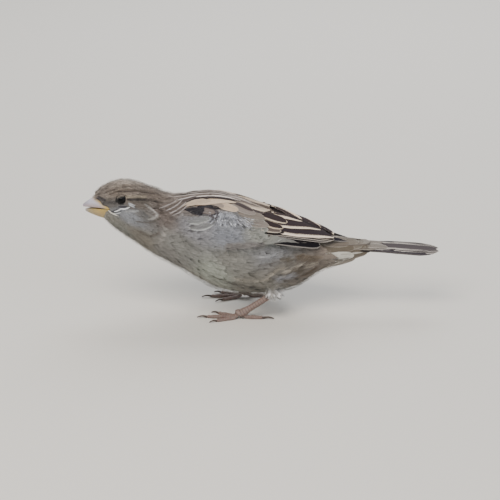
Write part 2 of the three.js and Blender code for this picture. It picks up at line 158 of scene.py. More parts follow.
# Ground colour of the coat at each place.
GROUND = {
    "forehead": (-68, 20, "#857c75"),
    "crown": (-60, 12, "#aca196"),
    "crown side": (-59, 34, "#897e74"),
    "lore": (-65, 62, "#6b6865"),
    "behind the eye": (-51, 50, "#6d6660"),
    "cheek": (-56, 84, "#888b90"),
    "ear": (-49, 66, "#6b6a69"),
    "chin": (-66, 130, "#8d8b83"),
    "throat": (-60, 140, "#80807a"),
    "throat below": (-56, 175, "#8a867c"),
    "lower throat": (-50, 130, "#7f7a71"),
    "nape": (-43, 15, "#766b62"),
    "neck side": (-42, 58, "#6f6661"),
    "neck front": (-40, 130, "#817f7b"),
    "mantle": (-24, 6, "#8a7b6f"),
    "mantle front": (-33, 22, "#8b817a"),
    "shoulder": (-28, 62, "#87878b"),
    "wing front": (-14, 60, "#84878e"),
    "wing middle": (0, 55, "#91928c"),
    "breast": (-32, 100, "#83837f"),
    "side": (-12, 95, "#86857f"),
    "breast below": (-26, 160, "#918e85"),
    "belly front": (-20, 120, "#a0a49a"),
    "belly": (-4, 130, "#827f77"),
    "belly below": (-2, 175, "#a29e94"),
    "flank": (8, 104, "#77736c"),
    "flank above": (4, 82, "#808081"),
    "flank rear": (18, 112, "#665f58"),
    "vent": (24, 130, "#6a6157"),
    "vent below": (22, 175, "#928c81"),
    "back": (0, 5, "#85776a"),
    "rump": (20, 8, "#82776c"),
    "tail coverts": (38, 10, "#8b837a"),
    "tail side": (32, 75, "#7a7067"),
    "under tail": (36, 150, "#a39f95"),
}

# Strokes of colour over the ground: from one place to another, half width in millimetres, and colour.
STROKES = [
    ("nostril shade", (-69.5, 34), (-66, 50), 1, "#4a4648"),
    ("lore", (-66, 60), (-61.5, 60), 1.6, "#575453"),
    ("lore above", (-65, 50), (-61.5, 48), 0.8, "#6a645f"),
    ("brow", (-56.5, 42), (-48.7, 30), 0.75, "#9f9484"),
    ("dark brow line", (-58, 30), (-50, 22), 0.5, "#5b5149"),
    ("crown streak", (-62, 34), (-55, 26), 0.35, "#5f554c"),
    ("rear crown streak", (-50, 21), (-43, 8), 0.45, "#564c44"),
    ("crown streak above", (-60, 20), (-51, 11), 0.35, "#6b6157"),
    ("eye stripe", (-56, 47), (-48, 34), 0.8, "#403c3a"),
    ("nape stripe", (-48, 35), (-42, 32), 0.7, "#4f4843"),
    ("cheek light", (-56.5, 76), (-52, 65), 0.6, "#9d9fa1"),
    ("dark cheek spot", (-53.5, 60), (-52.4, 62), 0.4, "#66666a"),
    ("ear pale rim top", (-48.6, 46), (-46.4, 51), 0.5, "#a5a4a1"),
    ("ear pale rim", (-46.4, 51), (-43.9, 57), 0.45, "#aaa8a5"),
    ("ear pale rim low", (-43.9, 57), (-44.2, 64), 0.4, "#acaaa7"),
    ("ear pale rim below", (-44.2, 64), (-47.2, 74), 0.45, "#a4a29e"),
    ("ear shade", (-48.5, 60), (-46.5, 66), 0.8, "#77736f"),
    ("dark behind ear", (-43.4, 40), (-41.6, 53), 0.8, "#544b46"),
    ("dark under ear", (-42.6, 64), (-47, 81), 0.4, "#55504c"),
    ("dark under cheek", (-47, 81), (-52.5, 91), 0.4, "#625e5a"),
    ("collar shade", (-43, 93), (-47, 111), 0.6, "#5f5953"),
    ("collar shade low", (-47, 111), (-52, 114), 0.6, "#69635c"),
    ("pale collar", (-40, 80), (-43, 118), 0.8, "#94918c"),
    ("mantle middle line", (-36, 0), (-4, 0), 0.6, "#5b4f48"),
    # painted shadow: the dark shoulder crease row below stands for the shade under the shoulder fold's pale
    # edge
    ("shoulder crease", (-29.5, 70), (-20.5, 51), 0.4, "#5f5f61"),
    ("pale shoulder edge", (-30, 65), (-22.4, 48), 0.4, "#a5a6a5"),
    ("shoulder spot", (-29.2, 62), (-28, 61), 0.6, "#5c5b5d"),
    ("rufous patch", (-31.5, 45), (-27, 44), 0.9, "#77716e"),
    # painted shadow: the two notch strokes below, with the near-black wedge feather among the back feathers,
    # stand for the shadow in the notch at the front of the scapulars
    ("notch shadow, front", (-31.8, 37), (-28, 38), 0.55, "#2c2a2f"),
    ("notch shadow under the wedge", (-28, 38.5), (-25.8, 39), 1.2, "#2c2a2f"),
    ("dark nape side", (-37.5, 44), (-35.5, 48), 0.8, "#5f5854"),
    ("cream line", (-9, 5), (6, 9), 1, "#c4b3a0"),
    ("pale wisps", (-18, 42), (-11, 41), 1.3, "#a6a9b1"),
    ("grey wisps", (-17, 50), (-12, 47), 1.8, "#95989e"),
    ("belly line", (-12, 121), (0.5, 122), 0.35, "#9d978b"),
    ("thigh line", (0.5, 122), (6.8, 102), 0.45, "#aaa294"),
    ("thigh line above", (6.8, 101), (10.5, 101), 0.35, "#9a9285"),
    # painted shade: the dark thigh crease row below darkens the crease between thigh and belly where shade
    # falls
    ("thigh crease", (3, 123), (8.6, 112), 0.45, "#524e47"),
    ("rear thigh line", (8.9, 110), (17.4, 99), 0.45, "#aba396"),
    # painted shade: the dark rear thigh crease row below darkens the crease behind the thigh where shade
    # falls
    ("rear thigh crease", (9.6, 115), (17.8, 104), 0.4, "#48423a"),
    ("dark flank rear", (14.5, 107), (16.5, 113), 1.5, "#564f46"),
    ("grey thigh", (8, 120), (13, 121), 1.7, "#88888b"),
    ("pale vent streak", (18, 104), (23, 103), 0.35, "#a79f90"),
    ("pale vent streak", (18.5, 110), (23, 109), 0.3, "#a0978a"),
    ("brown flank", (16, 84), (23, 92), 1.9, "#665c50"),
    ("brown vent", (18, 128), (23, 119), 1.2, "#584b3d"),
    ("flank dark patch", (9, 86), (12, 90), 1.2, "#5d574e"),
    ("flank streak", (-5, 107), (3, 99), 0.4, "#5f5d5a"),
    ("flank streak", (1, 95), (7, 88), 0.35, "#65615d"),
    ("flank wisp", (-1, 84), (6, 78), 0.4, "#a4a5a7"),
    ("flank wisp", (4, 79), (9, 72), 0.35, "#9fa0a2"),
    ("shade under wing", (-14, 76), (0, 67), 1.3, "#777472"),
    # painted shade: the two dark belly crease rows below darken the crease along the belly where shade falls
    ("belly crease front", (-21, 126), (-14, 131), 0.45, "#57534d"),
    ("belly crease", (-14, 131), (0.5, 138), 0.6, "#403d38"),
    ("heel tuft", (5, 140), (7, 150), 2, "#adaba6"),
]


def axis_height(x):
    """Height in metres of the body's axis at x metres."""
    return along_table(x / MM, AXIS) * MM


def place_of(points):
    """Each point's place on the body: millimetres along it and degrees round it."""
    rise = points[:, 2] - axis_height(points[:, 0])
    turn = np.degrees(np.arctan2(np.abs(points[:, 1]), rise))
    return np.stack([points[:, 0] / MM, turn], axis=1)


ALONG_REACH = 9.0  # millimetres over which one row of a table gives way to the next
ROUND_REACH = 26.0  # the same, in degrees
NEAREST_GAP = 0.02  # added to the squared gap, so that a row never outweighs all others
FALL_OFF = 2.2  # how fast a row's weight falls with the gap


def blend_table(table, places, columns):
    """The table's last `columns` values at each place, blended between its rows."""
    rows = list(table.values())
    where = np.array([row[:2] for row in rows], float)
    values = np.array([linear(row[2]) if columns == "colour" else row[2:] for row in rows])
    gap = (places[:, None] - where[None]) / (ALONG_REACH, ROUND_REACH)
    weight = 1 / ((gap**2).sum(axis=2) + NEAREST_GAP) ** FALL_OFF
    weight /= weight.sum(axis=1, keepdims=True)
    return weight @ values


ROUND_MM = 0.3  # millimetres for each degree round the body
STROKE_SOFT = 0.35  # millimetres over which the edge of a stroke fades


def coat_colour(places):
    """Linear colour of the coat at each place: the ground with the strokes over it."""
    colour = blend_table(GROUND, places, "colour")
    flat = places * (1, ROUND_MM)
    for _, start, end, half, tint in STROKES:
        a = np.array(start) * (1, ROUND_MM)
        b = np.array(end) * (1, ROUND_MM)
        share = ((flat - a) @ (b - a) / ((b - a) @ (b - a) + 1e-9)).clip(0, 1)
        away = np.linalg.norm(flat - (a + share[:, None] * (b - a)), axis=1)
        cover = ((half - away) / STROKE_SOFT + 0.5).clip(0, 1)[:, None]
        colour = colour * (1 - cover) + np.array(linear(tint)) * cover
    return colour


# ---- Settings that a user would change ----


def length_prop(name, description, default_mm):
    return bpy.props.FloatProperty(
        name=name, description=description, default=default_mm * MM, unit="LENGTH"
    )


def colour_prop(name, description, hex_colour):
    return bpy.props.FloatVectorProperty(
        name=name, description=description, default=linear(hex_colour), subtype="COLOR", size=3, min=0, max=1
    )


class SparrowSizes(bpy.types.PropertyGroup):
    skin_voxel: length_prop("Skin voxel", "Fineness of the skin under the feathers", 0.65)
    foot_voxel: length_prop("Foot voxel", "Fineness of the feet's skin", 0.14)
    coat_seed: bpy.props.IntProperty(
        name="Coat seed", description="Seed of the feathers' places", default=11
    )
    aim_x: length_prop("Aim along the body", "Where the camera looks, along the body", -5.0)
    aim_z: length_prop("Aim height", "Where the camera looks, above the floor", 26.4)
    camera_distance: length_prop("Camera distance", "From the camera to where it looks", 900)
    camera_rise: bpy.props.FloatProperty(
        name="Camera rise",
        description="Angle of the camera above the horizon",
        default=math.radians(20),
        subtype="ANGLE",
    )


class SparrowColours(bpy.types.PropertyGroup):
    eye: colour_prop("Eye", "Iris and pupil seen together", "#070606")
    eyelid: colour_prop("Eyelid", "Bare rim of the eye", "#0c0b0b")
    # upper bill: lilac horn at the top, darker and pinker towards the cutting edge; the pinker edge is the
    # horn's own colour, and the fall from a light top to a darker lower side is painted light and shade
    bill_horn: colour_prop("Upper bill", "Horn of the upper bill", "#b8b5c3")
    bill_edge_and_shade: colour_prop("Bill edge", "Horn along the upper bill's cutting edge", "#9b8884")
    bill_tip: colour_prop("Bill tip", "Darker horn at the tip", "#9a94a0")
    bill_yellow: colour_prop("Gape yellow", "Yellow skin and horn at the gape", "#b59a52")
    bill_lower: colour_prop("Lower bill", "Horn of the lower bill", "#988561")
    bill_straw: colour_prop("Lower bill tip", "Paler horn at the lower bill's tip", "#978d70")
    leg: colour_prop("Leg", "Scaly skin of shank and toes", "#7d6b64")
    leg_dark: colour_prop("Leg creases", "Skin between the scales", "#3b2b26")
    claw: colour_prop("Claw", "Horn of the claws", "#43352f")
    floor: colour_prop("Floor", "Plain floor", "#d9d6d0")


def sizes():
    return bpy.context.scene.sparrow_sizes


def colours():
    return bpy.context.scene.sparrow_colours


def seeded(step=0):
    return np.random.default_rng(sizes().coat_seed + step)


# ---- Mesh helpers ----


def deselect():
    if bpy.context.object and bpy.context.object.mode != "OBJECT":
        bpy.ops.object.mode_set(mode="OBJECT")
    bpy.ops.object.select_all(action="DESELECT")


def select_only(*pieces):
    deselect()
    for piece in pieces:
        piece.select_set(True)
    bpy.context.view_layer.objects.active = pieces[0]


def new_piece(name, mesh):
    piece = bpy.data.objects.new(name, mesh)
    bpy.context.scene.collection.objects.link(piece)
    return piece


MERGE = 0.001 * MM  # corners nearer than this become one


def edit_mesh(piece, operator, **settings):
    """Runs an operator on all of a piece's mesh."""
    select_only(piece)
    bpy.ops.object.mode_set(mode="EDIT")
    bpy.ops.mesh.select_all(action="SELECT")
    operator(**settings)
    bpy.ops.object.mode_set(mode="OBJECT")


def copy_of_node(name):
    """A piece with a merged copy of a CAD node's mesh."""
    piece = new_piece(f"copy_{name}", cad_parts[name].data.copy())
    edit_mesh(piece, bpy.ops.mesh.remove_doubles, threshold=MERGE)
    return piece


def join(pieces, name):
    select_only(*pieces)
    bpy.ops.object.join()
    joined = bpy.context.object
    joined.name = joined.data.name = name
    return joined


def apply_modifier(piece, kind, **settings):
    """Adds a modifier to the piece and applies it."""
    select_only(piece)
    modifier = piece.modifiers.new(kind.lower(), kind)
    for key, value in settings.items():
        setattr(modifier, key, value)
    bpy.ops.object.modifier_apply(modifier=modifier.name)


def remesh(piece, swell, voxel, smoothings):
    """Swells a piece by some millimetres and gives it one smooth closed surface."""
    if swell:
        apply_modifier(piece, "DISPLACE", strength=swell * MM, mid_level=0)
    apply_modifier(piece, "REMESH", mode="VOXEL", voxel_size=voxel)
    apply_modifier(piece, "SMOOTH", factor=0.5, iterations=smoothings)


def add_ball(place, radius, segments, rings, scale=(1, 1, 1)):
    """A sphere whose place and scale are already applied; radius in millimetres."""
    deselect()
    bpy.ops.mesh.primitive_uv_sphere_add(
        segments=segments, ring_count=rings, radius=radius * MM, location=place
    )
    ball = bpy.context.object
    ball.scale = scale
    bpy.ops.object.transform_apply(location=True, rotation=True, scale=True)
    return ball


def smooth_faces(piece, degrees):
    select_only(piece)
    bpy.ops.object.shade_smooth_by_angle(angle=math.radians(degrees))


def read_vectors(mesh, field):
    flat = np.empty(len(mesh.vertices) * 3, np.float32)
    mesh.vertices.foreach_get(field, flat)
    return flat.reshape(-1, 3).astype(float)


def mesh_points(mesh):
    return read_vectors(mesh, "co")


def mesh_normals(mesh):
    return read_vectors(mesh, "normal")


def set_points(mesh, points):
    mesh.vertices.foreach_set("co", points.astype(np.float32).ravel())
    mesh.update()


def colour_attribute(mesh, name, values, alpha=None):
    """Stores one colour for each vertex."""
    attribute = mesh.color_attributes.new(name, "FLOAT_COLOR", "POINT")
    alpha = np.ones(len(values)) if alpha is None else alpha
    data = np.column_stack([values, alpha]).astype(np.float32)
    attribute.data.foreach_set("color", data.ravel())


def dress(piece, material, slot, *nodes):
    """Gives a finished piece its material, attaches it to the root body and hides the CAD nodes it stands
    for; the slot is not used.
    """
    piece.data.materials.clear()
    piece.data.materials.append(material)
    if nodes:
        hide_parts(*nodes)
    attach(piece, "root")


# ---- Materials ----


def feed(tree, socket, value):
    """Gives an input a number, a colour or another node's output."""
    if isinstance(value, bpy.types.NodeSocket):
        tree.links.new(value, socket)
    else:
        socket.default_value = value


def add_node(tree, kind, **settings):
    """Adds a shader node. Its settings are properties, or inputs by name: values or other outputs."""
    node = tree.nodes.new(f"ShaderNode{kind}")
    for key, value in settings.items():
        if hasattr(node, key):
            setattr(node, key, value)
        else:
            feed(tree, node.inputs[key.replace("_", " ")], value)
    return node


def new_material(name, **shader):
    """A material with one Principled shader; returns the material, its tree and the shader."""
    material = bpy.data.materials.new(name)
    material.use_nodes = True
    tree = material.node_tree
    tree.nodes.clear()
    principled = add_node(tree, "BsdfPrincipled", **shader)
    add_node(tree, "OutputMaterial", Surface=principled.outputs["BSDF"])
    return material, tree, principled


def math_node(tree, operation, *values, clamp=False):
    """A maths node whose inputs are numbers or other nodes' outputs; returns its output."""
    node = add_node(tree, "Math", operation=operation, use_clamp=clamp)
    for socket, value in zip(node.inputs, values):
        feed(tree, socket, value)
    return node.outputs[0]


def mix_node(tree, factor, a, b):
    """A mix of two colours whose inputs are values or outputs; returns its output."""
    node = add_node(tree, "Mix", data_type="RGBA")
    for name, value in (("Factor_Float", factor), ("A_Color", a), ("B_Color", b)):
        socket = next(s for s in node.inputs if s.identifier == name)
        feed(tree, socket, (*value, 1) if isinstance(value, tuple) else value)
    return next(s for s in node.outputs if s.identifier == "Result_Color")


def attribute(tree, name, output="Color"):
    return add_node(tree, "Attribute", attribute_name=name).outputs[output]


def fine_noise(tree, scale, detail=3.0, stretch=(1, 1, 1)):
    """Noise in the piece's own frame, finer with a larger scale; `stretch` draws it out."""
    place = add_node(tree, "TexCoord").outputs["Object"]
    mapping = add_node(tree, "Mapping", Scale=stretch, Vector=place)
    inputs = {"Scale": scale, "Detail": detail, "Roughness": 0.6, "Vector": mapping.outputs[0]}
    return add_node(tree, "TexNoise", **inputs).outputs["Fac"]


def add_bump(tree, principled, height, strength, distance_mm):
    bump = add_node(tree, "Bump", Strength=strength, Distance=distance_mm * MM, Height=height)
    feed(tree, principled.inputs["Normal"], bump.outputs["Normal"])


def toned(tree, colour, factor):
    """The colour made lighter or darker by a factor; returns the output."""
    return add_node(tree, "VectorMath", operation="SCALE", Vector=colour, Scale=factor).outputs[0]


def mottled(tree, principled, colour, noise, depth, least, bump, distance_mm):
    """Base colour that a noise makes lighter and darker, with a bump from the same noise."""
    tone = math_node(tree, "MULTIPLY_ADD", noise, depth, least)
    feed(tree, principled.inputs["Base Color"], toned(tree, colour, tone))
    add_bump(tree, principled, noise, bump, distance_mm)


KERATIN_IOR = 1.54
BARBS_STORED = 100  # the fourth value of Rims is the number of barbs divided by this
BARB_LEAN = -0.55  # how far the barbs run on towards the tip as they leave the shaft
SHAFT_EDGE = (-38, 1.15)  # falls from 1 to 0 close to the middle of the vane
SHAFT_COVER = 0.35
RAGGED = (0.6, 0.7)  # noise times the first plus the second makes a rim's edge uneven
PATCHY = (0.34, 0.83)  # the same for the tone of a vane
RIM_SHARP = 14  # how crisp the inner edge of a rim is, at the sides and at the tip
TIP_SHARP = 16
BARB_HEIGHT = 0.08  # millimetres


def feather_material(name, roughness, barb_tone, barb_bump, sheen=0.12, gloss=0.25, sharp=RIM_SHARP):
    """Keratin vanes: a matt sheet of fine barbs that run out from the shaft, with a heart and a rim."""
    material, tree, principled = new_material(
        name, Roughness=roughness, IOR=KERATIN_IOR, Specular_IOR_Level=gloss, Sheen_Weight=sheen,
        Sheen_Roughness=0.55,
    )

    def maths(operation, *values, clamp=False):
        return math_node(tree, operation, *values, clamp=clamp)

    uv = add_node(tree, "UVMap", uv_map="Vane").outputs[0]
    parts = add_node(tree, "SeparateXYZ", Vector=uv)
    across, along = parts.outputs["X"], parts.outputs["Y"]
    heart, rim = attribute(tree, "Heart"), attribute(tree, "Rim")
    rims = add_node(tree, "Attribute", attribute_name="Rims")
    widths = add_node(tree, "SeparateXYZ", Vector=rims.outputs["Vector"])
    ragged = maths("MULTIPLY_ADD", fine_noise(tree, 1800), *RAGGED)
    # the rim starts a share of the vane's width from either edge, and a share of its length from the tip
    cover = 0
    for width, away, crisp in (
        ("X", across, sharp),
        ("Y", maths("SUBTRACT", 1, across), RIM_SHARP),
        ("Z", maths("SUBTRACT", 1, along), TIP_SHARP),
    ):
        inside = maths("SUBTRACT", maths("MULTIPLY", widths.outputs[width], ragged), away)
        cover = maths("MAXIMUM", cover, maths("MULTIPLY_ADD", inside, crisp, 0.5, clamp=True))
    base = mix_node(tree, cover, heart, rim)
    # barbs: fine lines that lean towards the tip as they leave the shaft
    from_shaft = maths("ABSOLUTE", maths("SUBTRACT", across, 0.5))
    slanted = maths("MULTIPLY_ADD", from_shaft, BARB_LEAN, along)
    turns = maths("MULTIPLY", slanted, rims.outputs["Alpha"])
    barb = maths("SINE", maths("MULTIPLY", turns, 2 * math.pi * BARBS_STORED))
    patchy = fine_noise(tree, 900, 4.0)
    tone = maths("MULTIPLY_ADD", barb, barb_tone, maths("MULTIPLY_ADD", patchy, *PATCHY))
    shaft = maths("MULTIPLY", maths("MULTIPLY_ADD", from_shaft, *SHAFT_EDGE, clamp=True), SHAFT_COVER)
    final = mix_node(tree, shaft, toned(tree, base, tone), linear("#3b322d"))
    feed(tree, principled.inputs["Base Color"], final)
    add_bump(tree, principled, maths("MULTIPLY_ADD", barb, 0.5, patchy), barb_bump, BARB_HEIGHT)
    return material


def skin_material():
    """Down over skin: dull and soft, in the coat's colours made darker as painted shade between the
    feathers, with fine fluff.
    """
    material, tree, principled = new_material(
        "Down over the skin, painted darker as shade", Roughness=0.95, IOR=1.5, Specular_IOR_Level=0.1, Sheen_Weight=0.2
    )
    fluff = fine_noise(tree, 1600, 4.0, (0.4, 1, 1))
    # the noise keeps the coat's colours at 0.45 to 0.95 of themselves: fine fluff, and on the whole painted
    # shade in the gaps between the feathers
    mottled(tree, principled, attribute(tree, "Down"), fluff, 0.5, 0.45, 0.5, 0.15)
    return material


# ---- Skin ----

# The edge of the feathers round the bill from the side: height, and how far forward the feathers reach.
FEATHER_EDGE = [(40.6, -66.6), (42.1, -67.2), (43.5, -66.0), (46.3, -63.6), (48.2, -66.2), (49.1, -67.7),
                (50.4, -69.6), (52.6, -70.8), (53.2, -74.0)]
# Width of the face, as a share of the solid's, along the head; higher than this the crown keeps more of it.
FACE_TAPER = [(-71, 0.8), (-68, 0.66), (-66, 0.66), (-64, 0.71), (-62, 0.8), (-60, 0.89), (-56.5, 1)]
CROWN_ABOVE, CROWN_KEEPS = (52, 5), 0.4

SWELL = 0.35  # how far the solids swell so that the thin cuts between them close
WING_TRIM = 22.0  # the wings' skin ends here, in millimetres along the body; the flight feathers go on
SKIN_SMOOTHINGS = 12
BILL_TUCK = 0.7  # how far the skin narrows where it is inside the bill
# The forehead stands forward over the bill: in front of a place along the head and about a height.
FOREHEAD_FROM, FOREHEAD_ABOUT, FOREHEAD_PUSH = (-66, -2), (52.6, 2.1), (-1.4, 0, 0.4)
# Under the root of the tail the body thins out to the tail's own height.
THIN_FROM, THIN_SHARE, THIN_HEIGHT = (36, 8), 0.6, 27.2
# Under the flight feathers' lower rows the wing's flesh lies deeper, so that they stay in sight.
SUNK_MIDDLE, SUNK_REACH, SUNK_POWER, SUNK_DEPTH = (10.5, 72), (6.5, 12), 4, 1.3


def bill_side(points):
    """How many millimetres each point is in front of the feathers' edge, and so on the bill."""
    z = points[:, 2] / MM
    return np.where(z > FEATHER_EDGE[0][0], along_table(z, FEATHER_EDGE) - points[:, 0] / MM, -1)


def face_taper(points):
    share = along_table(points[:, 0] / MM, FACE_TAPER)
    crown = ramp(points[:, 2] / MM, *CROWN_ABOVE)
    return share * (1 - CROWN_KEEPS * crown) + CROWN_KEEPS * crown


def trimmed_wing(name):
    """The front of a folded wing as a closed copy, cut off where only flight feathers remain."""
    wing = copy_of_node(name)
    cut = {"plane_co": (WING_TRIM * MM, 0, 0), "plane_no": (1, 0, 0)}
    edit_mesh(wing, bpy.ops.mesh.bisect, **cut, use_fill=True, clear_outer=True)
    return wing


def narrowed(points, depth, share):
    """Moves points towards the body's middle plane by a depth in millimetres, times a share for each."""
    points[:, 1] -= np.sign(points[:, 1]) * depth * MM * share


class SPARROW_OT_skin(bpy.types.Operator):
    """One skin over head, neck, trunk, wing fronts and thighs, drawn in by the depth of the coat"""

    bl_idname = "sparrow.skin"
    bl_label = "Skin"

    def execute(self, context):
        parts = [copy_of_node(name) for name in FLESH + [f"eye_{side}" for side in SIDES]]
        parts += [trimmed_wing(f"wing_{side}") for side in SIDES]
        skin = join(parts, "skin")
        remesh(skin, SWELL, sizes().skin_voxel, SKIN_SMOOTHINGS)
        points = mesh_points(skin.data)
        depth = blend_table(FEATHER_SIZES, place_of(points), "sizes")[:, 3]
        points -= mesh_normals(skin.data) * (depth + SWELL)[:, None] * MM
        forehead = ramp(points[:, 0] / MM, *FOREHEAD_FROM)
        forehead *= bell(points[:, 2] / MM, *FOREHEAD_ABOUT)
        points += forehead[:, None] * FOREHEAD_PUSH * MM
        thin = THIN_SHARE * ramp(points[:, 0] / MM, *THIN_FROM)
        points[:, 2] += thin * np.clip(THIN_HEIGHT * MM - points[:, 2], 0, None)
        narrowed(points, SUNK_DEPTH, spot(place_of(points), SUNK_MIDDLE, SUNK_REACH, SUNK_POWER))
        points[:, 1] *= face_taper(points)
        narrowed(points, BILL_TUCK, bill_side(points) > 0)
        set_points(skin.data, points)
        apply_modifier(skin, "SMOOTH", factor=0.5, iterations=4)
        colour_attribute(skin.data, "Down", coat_colour(place_of(mesh_points(skin.data))))
        smooth_faces(skin, 80)
        dress(skin, skin_material(), "body_plumage", *FLESH)
        return {"FINISHED"}


class Ground:
    """Surfaces to lay feathers on."""

    def __init__(self, *pieces):
        points, triangles, normals, start = [], [], [], 0
        for piece in pieces:
            mesh = piece.data
            mesh.calc_loop_triangles()
            corners = np.empty(len(mesh.loop_triangles) * 3, np.int32)
            mesh.loop_triangles.foreach_get("vertices", corners)
            points.append(mesh_points(mesh))
            normals.append(mesh_normals(mesh))
            triangles.append(corners.reshape(-1, 3) + start)
            start += len(mesh.vertices)
        self.points = np.concatenate(points)
        self.triangles = np.concatenate(triangles)
        self.facing = unit(np.concatenate(normals)[self.triangles].sum(axis=1))
        self.tree = BVHTree.FromPolygons(self.points.tolist(), self.triangles.tolist())

    def nearest(self, points):
        """The nearest points of the skin, and which way it faces there."""
        found = np.empty_like(points)
        index = np.empty(len(points), int)
        for i, point in enumerate(points.tolist()):
            place, _, index[i], _ = self.tree.find_nearest(point)
            found[i] = place
        return found, self.facing[index]

    def scatter(self, spacing_of, rng, crowd=14):
        """Places about `spacing_of(points)` metres apart, from about `crowd` times as many tries."""
        a, b, c = (self.points[self.triangles[:, i]] for i in range(3))
        areas = np.linalg.norm(np.cross(b - a, c - a), axis=1) / 2
        counts = rng.poisson(areas / spacing_of((a + b + c) / 3) ** 2 * crowd)
        pick = np.repeat(np.arange(len(areas)), counts)
        u, v = rng.random((2, len(pick)))
        u, v = np.where(u + v > 1, 1 - u, u), np.where(u + v > 1, 1 - v, v)
        points = a[pick] + u[:, None] * (b - a)[pick] + v[:, None] * (c - a)[pick]
        points = points[rng.permutation(len(points))]
        spacing = spacing_of(points)
        nearby = KDTree(len(points))
        for i, point in enumerate(points.tolist()):
            nearby.insert(point, i)
        nearby.balance()
        free = np.ones(len(points), bool)
        kept = []
        for i, point in enumerate(points.tolist()):
            if free[i]:
                kept.append(i)
                free[[j for _, j, _ in nearby.find_range(point, spacing[i])]] = False
        return points[kept]


# ---- Laying feathers ----

EYE_RADIUS = 2.2
EYE_OPEN = (1.98, 1.3)  # half length and half height of the opening between the lids, in millimetres
EYE_TILT = math.radians(25)  # the rear corner is higher than the front one
EYE_ASIDE = 6.35  # the eyeball's middle: millimetres from the middle plane, and above the solid's middle
EYE_RAISED = 0.1
EYE_MIDDLES = {
    name: np.array(
        [(low[0] + high[0]) / 2, SIDES[name] * EYE_ASIDE * MM, (low[2] + high[2]) / 2 + EYE_RAISED * MM]
    )
    for name, (low, high) in EYE_BOXES.items()
}
EYE_PARTING = (2.2, 1.45, 0.2)  # how strongly the coat parts round the eye, how far out, least distance
COAT_LIE = [1.0, 0.0, -0.13]
# Where the coat lies more upwards or downwards than that: a place, the reach about it, and how much upwards.
LIE_TURNS = [
    ("the flank rises over the wing's lower edge", (10, 108), (14, 30), 0.55),
    ("the cheek sweeps down", (-54, 85), (8, 35), -0.35),
    ("the shoulder rises over the wing's bend", (-30, 60), (9, 30), 0.2),
    ("the thigh runs down to the heel", (5, 150), (5, 16), -2.2),
]


def eye_share(points, grow=0.0):
    """Where points are beside the eye, as shares of its opening: x along, z up; 1 is the lids' edge."""
    away = (points - EYE_MIDDLES["left"])[:, [0, 2]] / MM
    along = away[:, 0] * math.cos(EYE_TILT) + away[:, 1] * math.sin(EYE_TILT)
    rise = away[:, 1] * math.cos(EYE_TILT) - away[:, 0] * math.sin(EYE_TILT)
    return np.stack([along / (EYE_OPEN[0] + grow), rise / (EYE_OPEN[1] + grow)], axis=1)


def lie(points, facing):
    """The way that the coat lies at each point: backwards along the body, parting round eye and wing."""
    flow = np.tile(COAT_LIE, (len(points), 1))
    places = place_of(points)
    for _, middle, reach, upwards in LIE_TURNS:
        flow[:, 2] += upwards * spot(places, middle, reach)
    away = eye_share(points)
    distance = np.linalg.norm(away, axis=1)
    strength, reach, least = EYE_PARTING
    push = strength * bell(distance, 0, reach, 4) / np.maximum(distance, least)
    flow[:, [0, 2]] += away * push[:, None]
    return flat_on(facing, flow)


def turned(vectors, axes, angles):
    """Vectors turned about their axes, which are at right angles to them."""
    return vectors * np.cos(angles)[:, None] + np.cross(axes, vectors) * np.sin(angles)[:, None]


VANE_ROWS = 5  # rows of points along a contour feather
VANE_COLUMNS = 9  # points across it
# Width of a contour feather along it, as a share of the greatest.
VANE_WIDTHS = [(0, 0.3), (0.25, 0.72), (0.6, 1), (0.85, 0.9), (1, 0.62)]
TIP_FROM, TIP_REACH = 0.55, 0.45  # the share of its length that is the tip
TIP_ROUND, TIP_POWER = 0.3, 2.2  # how much shorter the tip is at its edges


def contour_outline(columns, notch, rng):
    """Share of length and of width at each point of vanes; `notch` is how deep each tip is split."""
    v = np.linspace(0, 1, VANE_ROWS)[None, :, None]
    u = np.linspace(-1, 1, columns)[None, None, :]
    tip = ramp(v, TIP_FROM, TIP_REACH)
    split = np.arange(columns)[None, None, :] % 2
    jitter = rng.uniform(0.5, 1.5, (len(notch), 1, columns))
    cut = tip**2 * notch[:, None, None] * split * jitter
    reach = 1 - TIP_ROUND * tip * np.abs(u) ** TIP_POWER - cut
    along = v * np.where(v > TIP_FROM, reach, 1)
    across = u * along_table(v, VANE_WIDTHS) * np.ones((len(notch), 1, 1))
    return along, across


def grid_quads(number):
    """The corners of each quad of a grid of numbered points."""
    corners = [number[:-1, :-1], number[:-1, 1:], number[1:, 1:], number[1:, :-1]]
    return np.stack(corners, axis=-1).reshape(-1, 4)


def hollow_volume(points, faces):
    """Volume inside a closed mesh: negative where its faces look inwards."""
    points = points - points.mean(axis=0)
    fans = [(face[0], face[i], face[i + 1]) for face in faces for i in range(1, len(face) - 1)]
    a, b, c = (points[[fan[i] for fan in fans]] for i in range(3))
    return (a * np.cross(b, c)).sum()


